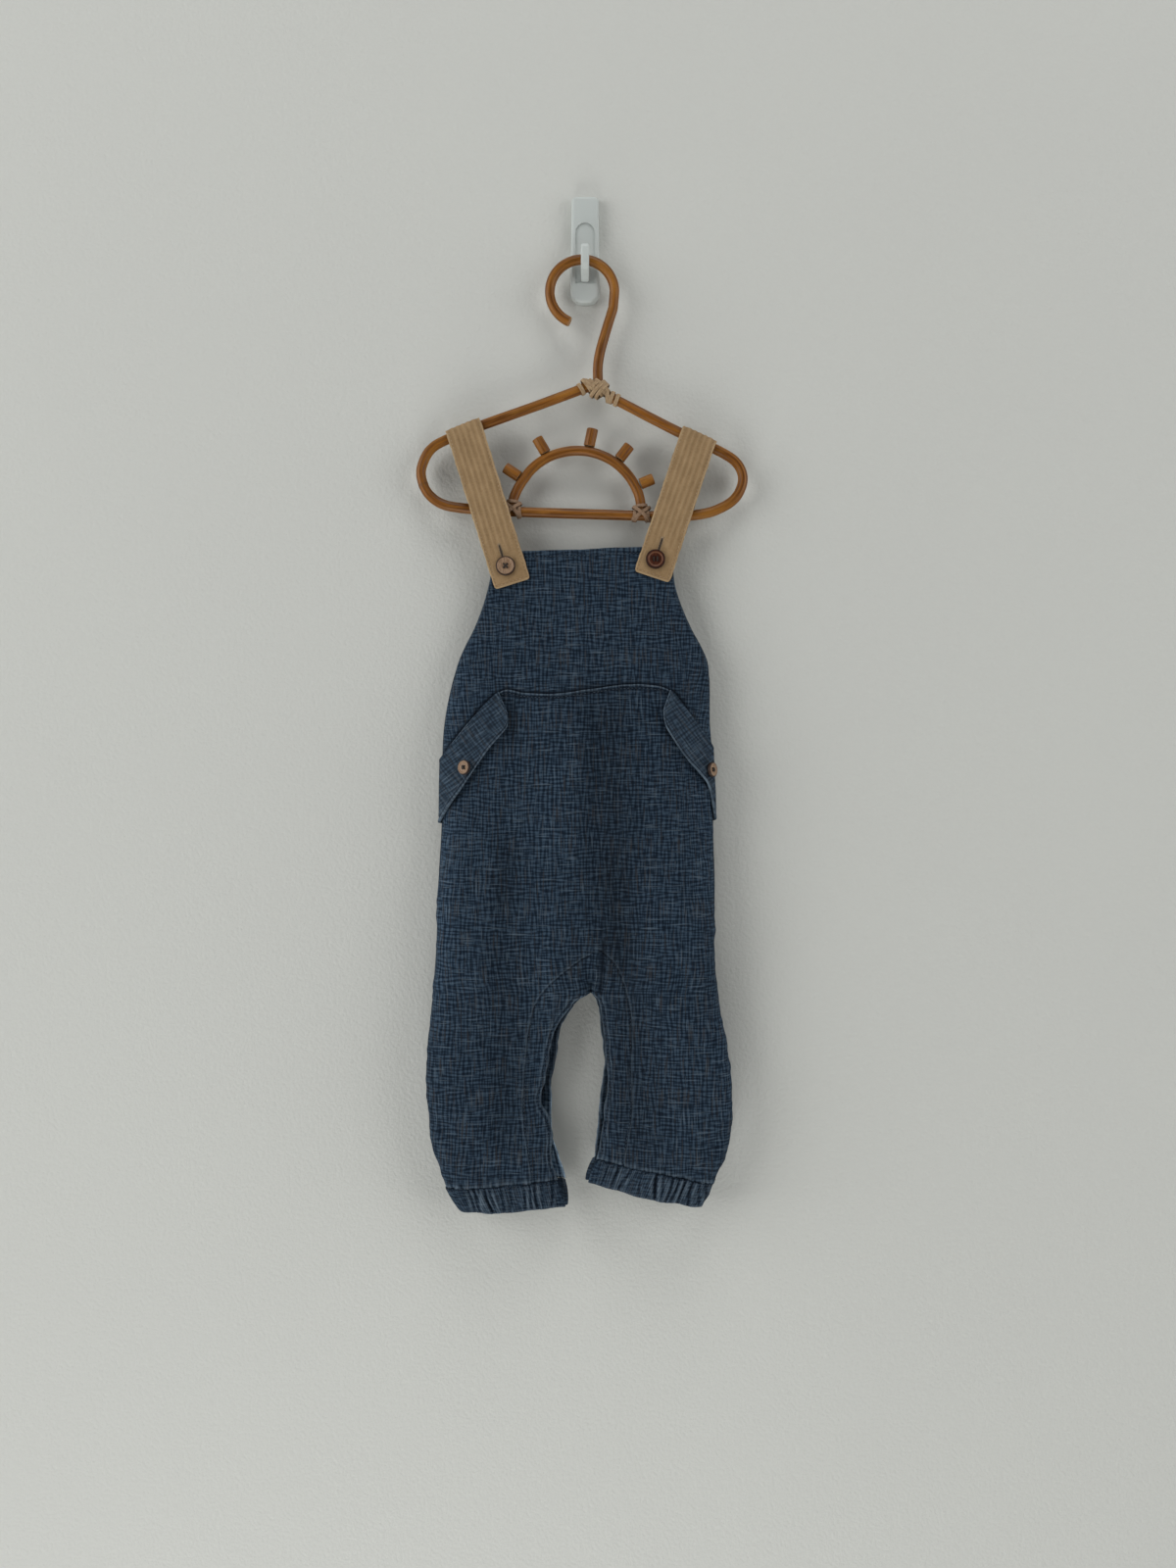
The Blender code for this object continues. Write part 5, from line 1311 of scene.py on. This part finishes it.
def weave(name, paintedLighter=0):
    # threads both ways, most of them even, some thick and pale along parts of their length
    m = Recipe(name, 0.12)
    uv = m.uv()
    warp = m.strands(uv, (1000 / 1.9, 1000 / 15, 1), (0.75, 0, 0), 0.6)
    weft = m.strands(uv, (1000 / 12, 1000 / 1.8, 1), (0, 0.75, 0), 0.6)
    slubWarp, slubWeft = m.flecks(uv, 1.3, 19, 0, 0.4), m.flecks(uv, 22, 1.25, 0, 0.4)
    brown, grain, cloud = m.flecks(uv, 1.5, 26, 0, 0.4), m.flecks(uv, 0.42, 0.42), m.flecks(uv, 60, 48, 2, 0.5)
    threads = m.between(warp, 0.30, 0.70) * 0.5 + m.between(weft, 0.30, 0.70) * 0.5
    slubs = m.between(slubWarp, 0.66, 0.80) * 0.6 + m.between(slubWeft, 0.65, 0.79) * 0.75
    lit, shade = m.wearShadeAndHighlightHalves()
    away = (m.attribute("line") - 2) * 8   # millimetres from the placket's line
    groove, lip = 1 - m.between(abs(away), 0.35, 1), 1 - m.between(abs(away - 1.5), 0.3, 1)
    stops = ((0.1, colours["blueDeep"]), (0.5, colours["blueMid"]), (0.9, colours["blueLit"]))
    base = m.node("ShaderNodeValToRGB", {"stops": stops}, {"Fac": threads + (cloud - 0.5) * 0.14})
    base = m.mix(m.between(grain, 0.46, 0.30) * 0.5, base, colours["blueDark"])
    base = m.mix(m.between(brown, 0.60, 0.72) * 0.35, base, colours["brownTouch"])
    frayed = 0.35 + 0.65 * m.between(grain * 0.5 + warp * 0.5, 0.42, 0.62)
    # slubs and wear make it paler, with painted highlight on ridges and on the placket's lip; painted shade darkens
    # grooves, valleys and the placket's groove
    pale = slubs * 0.5 + m.between(grain, 0.58, 0.80) * 0.16 + lit * frayed * 0.85 + lip * 0.22 + paintedLighter
    colour = m.mix(m.clamp(pale), base, colours["bluePale"])
    colour = m.mix(m.clamp(shade * 0.88 + groove * 0.38), colour, colours["blueDark"])
    height = threads * 0.55 + slubs * 0.3 + grain * 0.35 + lip * 0.8 - groove * 1.2
    # painted shade and painted light: the broad bands make the colour darker and paler in steps of doubling
    return m.finish(m.tint(colour, 2 ** m.attribute("tone")), 0.84 + 0.12 * grain, m.bump(height, 0.22 * mm))


def twill(name):
    m = Recipe(name, 0.2)
    uv = m.uv()
    lengthwise, crosswise = m.flecks(uv, 0.7, 7), m.flecks(uv, 6, 0.65)
    grain, cloud = m.flecks(uv, 0.5, 0.5), m.flecks(uv, 14, 22, 3)
    lit, shade = m.wearShadeAndHighlightHalves()
    threads = m.between(lengthwise, 0.30, 0.72) * 0.5 + m.between(crosswise, 0.30, 0.72) * 0.5
    base = m.mix(threads * 0.6 + m.between(cloud, 0.35, 0.7) * 0.4, colours["buffDeep"], colours["buffMid"])
    # wear and painted highlight make it paler, painted shade makes it darker
    colour = m.mix(m.clamp(m.between(grain, 0.5, 0.8) * 0.16 + lit * 0.45), base, colours["buffPale"])
    colour = m.mix(shade * 0.6, colour, colours["buffDark"])
    return m.finish(colour, 0.84 + 0.1 * grain, m.bump(threads * 0.6 + grain * 0.4, 0.1 * mm, 0.9))


def threadMaterial(name):
    m = Recipe(name)
    lay = m.noise(m.place(), 1900, 2, 0.6)
    return m.finish(m.mix(m.between(lay, 0.35, 0.7), *colours[name]), 0.66 + 0.16 * lay, m.bump(lay, 0.08 * mm))


def caneMaterial():
    m = Recipe("satinCane", 0.3)
    grain, knot, cut = m.attribute("grain", "Vector"), m.attribute("knot"), m.attribute("cut")
    fibre, streak = m.grained(grain, (2600, 2600, 42)), m.grained(grain, (620, 620, 20))
    patch, pores = m.grained(grain, (130, 130, 26), 3, 0.55), m.grained(grain, (2400, 2400, 60), 1, 0.5)
    speck, ticks = m.grained(grain, (1100, 1100, 520), 2, 0.5), m.grained(grain, (260, 260, 1100), 2, 0.5)
    base = m.mix(m.between(streak, 0.32, 0.68), colours["caneDeep"], colours["caneMid"])
    base = m.mix(m.between(fibre, 0.45, 0.75) * 0.45 + m.between(patch, 0.45, 0.75) * 0.35, base, colours["canePale"])
    ticked = m.between(ticks, 0.58, 0.70) * m.between(patch, 0.50, 0.62) * 0.35
    base = m.mix(m.clamp(m.between(speck, 0.72, 0.77) + knot * 0.6 + ticked), base, colours["caneMark"])
    face = m.mix(m.between(pores, 0.4, 0.7), colours["caneCut"], colours["caneDeep"])
    height = fibre * 0.5 + streak * 0.5 - knot * 0.6
    return m.finish(m.mix(cut * 0.8, base, face), 0.34 + 0.2 * streak + 0.3 * cut, m.bump(height, 0.12 * mm, 0.8))


def stripMaterial(name, aged):
    m = Recipe(name, 0.3)
    uv = m.uv()
    fibre, blotch = m.flecks(uv, 0.32, 9, 3), m.flecks(uv, 4, 6, 3)
    base = m.mix(m.between(fibre, 0.34, 0.66), colours["stripDeep"], colours["stripPale"])
    colour = m.mix(m.between(blotch, 0.45, 0.8) * 0.5, base, colours["stripDeep"])
    colour = m.mix(aged, colour, m.mix(fibre, colours["agedDeep"], colours["agedPale"]))
    return m.finish(colour, 0.5 + 0.2 * fibre, m.bump(fibre, 0.12 * mm))


def palmMaterial(name, middleDark):
    # a dark outer rim, and on the dark kind a paler ring inside it; the attribute runs from 0 to 1
    m = Recipe(name, 0.3)
    place = m.attribute("turned", "Vector")
    radius = m.node("ShaderNodeVectorMath", {"operation": "LENGTH"}, {0: m.stretched(place, (1, 1, 0))}, out="Value")
    fibre, cloud = m.grained(place, (14, 2.6, 2.6)), m.grained(place, (2.4, 2.8, 2))
    wobble = radius + (cloud - 0.5) * 0.09
    rim, fibres = m.between(wobble, 0.84, 0.90), m.between(fibre, 0.35, 0.7)
    if middleDark:
        ring = m.between(wobble, 0.60, 0.67) * (1 - m.between(wobble, 0.70, 0.80))
        base = m.mix(fibres, colours["darkPalmDeep"], colours["darkPalmPale"])
        colour = m.mix(rim * 0.85, m.mix(ring * 0.8, base, colours["darkPalmRing"]), colours["darkPalmRim"])
    else:
        colour = m.mix(rim, m.mix(fibres, colours["palmTan"], colours["palmPale"]), colours["palmRim"])
    return m.finish(colour, 0.36 + 0.2 * fibre, m.bump(fibre, 0.05 * mm))


def plasticMaterial():
    m = Recipe("whitePlastic")
    soil, fine = m.noise(m.place(), 60, 4, 0.6), m.noise(m.place(), 1500)
    colour = m.mix(m.between(soil, 0.5, 0.85) * 0.35, colours["plastic"], colours["plasticSoil"])
    return m.finish(colour, 0.36 + 0.12 * soil, m.bump(fine, 0.03 * mm, 0.5))


# Wall, floor, light and camera

stage = {
    "wallSize": 4.0, "wallY": 0.0006, "floorZ": -3.2, "worldLight": 0.035,
    "skyColour": (0.97, 0.98, 1.0), "aim": (0.0, 0.0, -0.5),
    "lamps": {   # place, size and power of each soft light
        "leftWindow": ((-2.4, -1.25, 0.1), 3.0, 61.0), "rightWall": ((2.4, -1.25, -0.1), 3.0, 43.0),
        "ceiling": ((0.2, -1.0, 2.0), 1.5, 20.5), "lowBounce": ((-0.4, -0.9, -2.6), 1.5, 27.0),
    },
    "camera": {"place": (0.0025, -1.2, -0.4564), "lens": 24 / 2 / (0.664 / 1.185)},
}


def wallMaterial():
    m = Recipe("paintedWall")
    roller, broad = m.noise(m.place(), 330, 3, 0.55), m.noise(m.place(), 3)
    m.finish(m.mix(m.between(broad, 0.3, 0.7) * 0.2, colours["wall"], colours["wallPatch"]), 0.9,
             m.bump(roller, 0.7 * mm, 0.8))
    behind, clear = m.node("ShaderNodeNewGeometry", out="Backfacing"), m.node("ShaderNodeBsdfTransparent")
    seen = m.node("ShaderNodeMixShader", {}, {0: behind, 1: Wire(m, m.shader.outputs[0]), 2: clear})
    m.tree.links.new(seen.socket, m.tree.nodes["Material Output"].inputs["Surface"])
    return m.material


def makeStage():
    size, low, back = stage["wallSize"], stage["floorZ"], stage["wallY"]
    finish = wallMaterial()
    foot = ((-size, back, low), (size, back, low))
    for name, verts in (("wall", (*foot, (size, back, size / 2), (-size, back, size / 2))),
                        ("floor", ((-size, -size, low), (size, -size, low), *foot[::-1]))):
        mesh = bpy.data.meshes.new(name)
        mesh.from_pydata(verts, [], [(0, 1, 2, 3)])
        mesh.materials.append(finish)
        linked(name, mesh)
    world = bpy.data.worlds.new("room")
    world.use_nodes = True
    background = world.node_tree.nodes["Background"]
    background.inputs["Color"].default_value = (*stage["skyColour"], 1)
    background.inputs["Strength"].default_value = stage["worldLight"]
    bpy.context.scene.world = world
    for name, (place, size, power) in stage["lamps"].items():
        lamp = bpy.data.lights.new(name, "AREA")
        lamp.shape, lamp.size, lamp.energy = "DISK", size, power
        source = linked(name, lamp)
        source.location = place
        source.rotation_euler = (Vector(stage["aim"]) - Vector(place)).to_track_quat("-Z", "Y").to_euler()
    lens = bpy.data.cameras.new("camera")
    lens.sensor_fit, lens.sensor_height, lens.lens = "VERTICAL", 24, stage["camera"]["lens"]
    camera = linked("camera", lens)
    camera.location, camera.rotation_euler = stage["camera"]["place"], (math.radians(90), 0, 0)
    bpy.context.scene.camera = camera
    bpy.context.scene.view_settings.view_transform = "Standard"


chambray = weave("slateChambray")
# painted light: the flaps take a paler copy of the cloth, standing for the light that their tilt catches
paintedLightFlapChambray = weave("paintedLightChambray", paintedLighter=0.08)
buffTwill = twill("buffTwill")
threads = {"blue": threadMaterial("slateThread"), "buff": threadMaterial("buffThread"),
           "dark": threadMaterial("darkThread")}
buttonMaterials = {"coconut": palmMaterial("tanPalm", False), "dark_coconut": palmMaterial("darkPalm", True)}
print("materials ready")

panelPieces = makePanels(chambray)
print("panels ready")
flapPieces = [makeFlap(side, paintedLightFlapChambray) for side in halves]
cuffPieces = [makeCuff(side, chambray) for side in halves]
print("flaps and cuffs ready")
stations = {side: strapStations(side) for side in halves}
strapPieces = [makeStrap(side, stations[side], buffTwill) for side in halves]
print("straps ready")
makeStitches(threads, stations)
print("stitches ready")
makeHanger(caneMaterial())
makeLashings(stripMaterial("splitCane", 0.0), stripMaterial("agedSplitCane", 0.75))
print("hanger ready")
makeButtons(buttonMaterials, threads, stations)
print("buttons ready")
plastic = plasticMaterial()
for nodeName in ("hook_plate", "hook_prong"):
    hookPart = bpy.data.objects[nodeName].data
    hookPart.materials.clear()
    hookPart.materials.append(plastic)
makeStage()
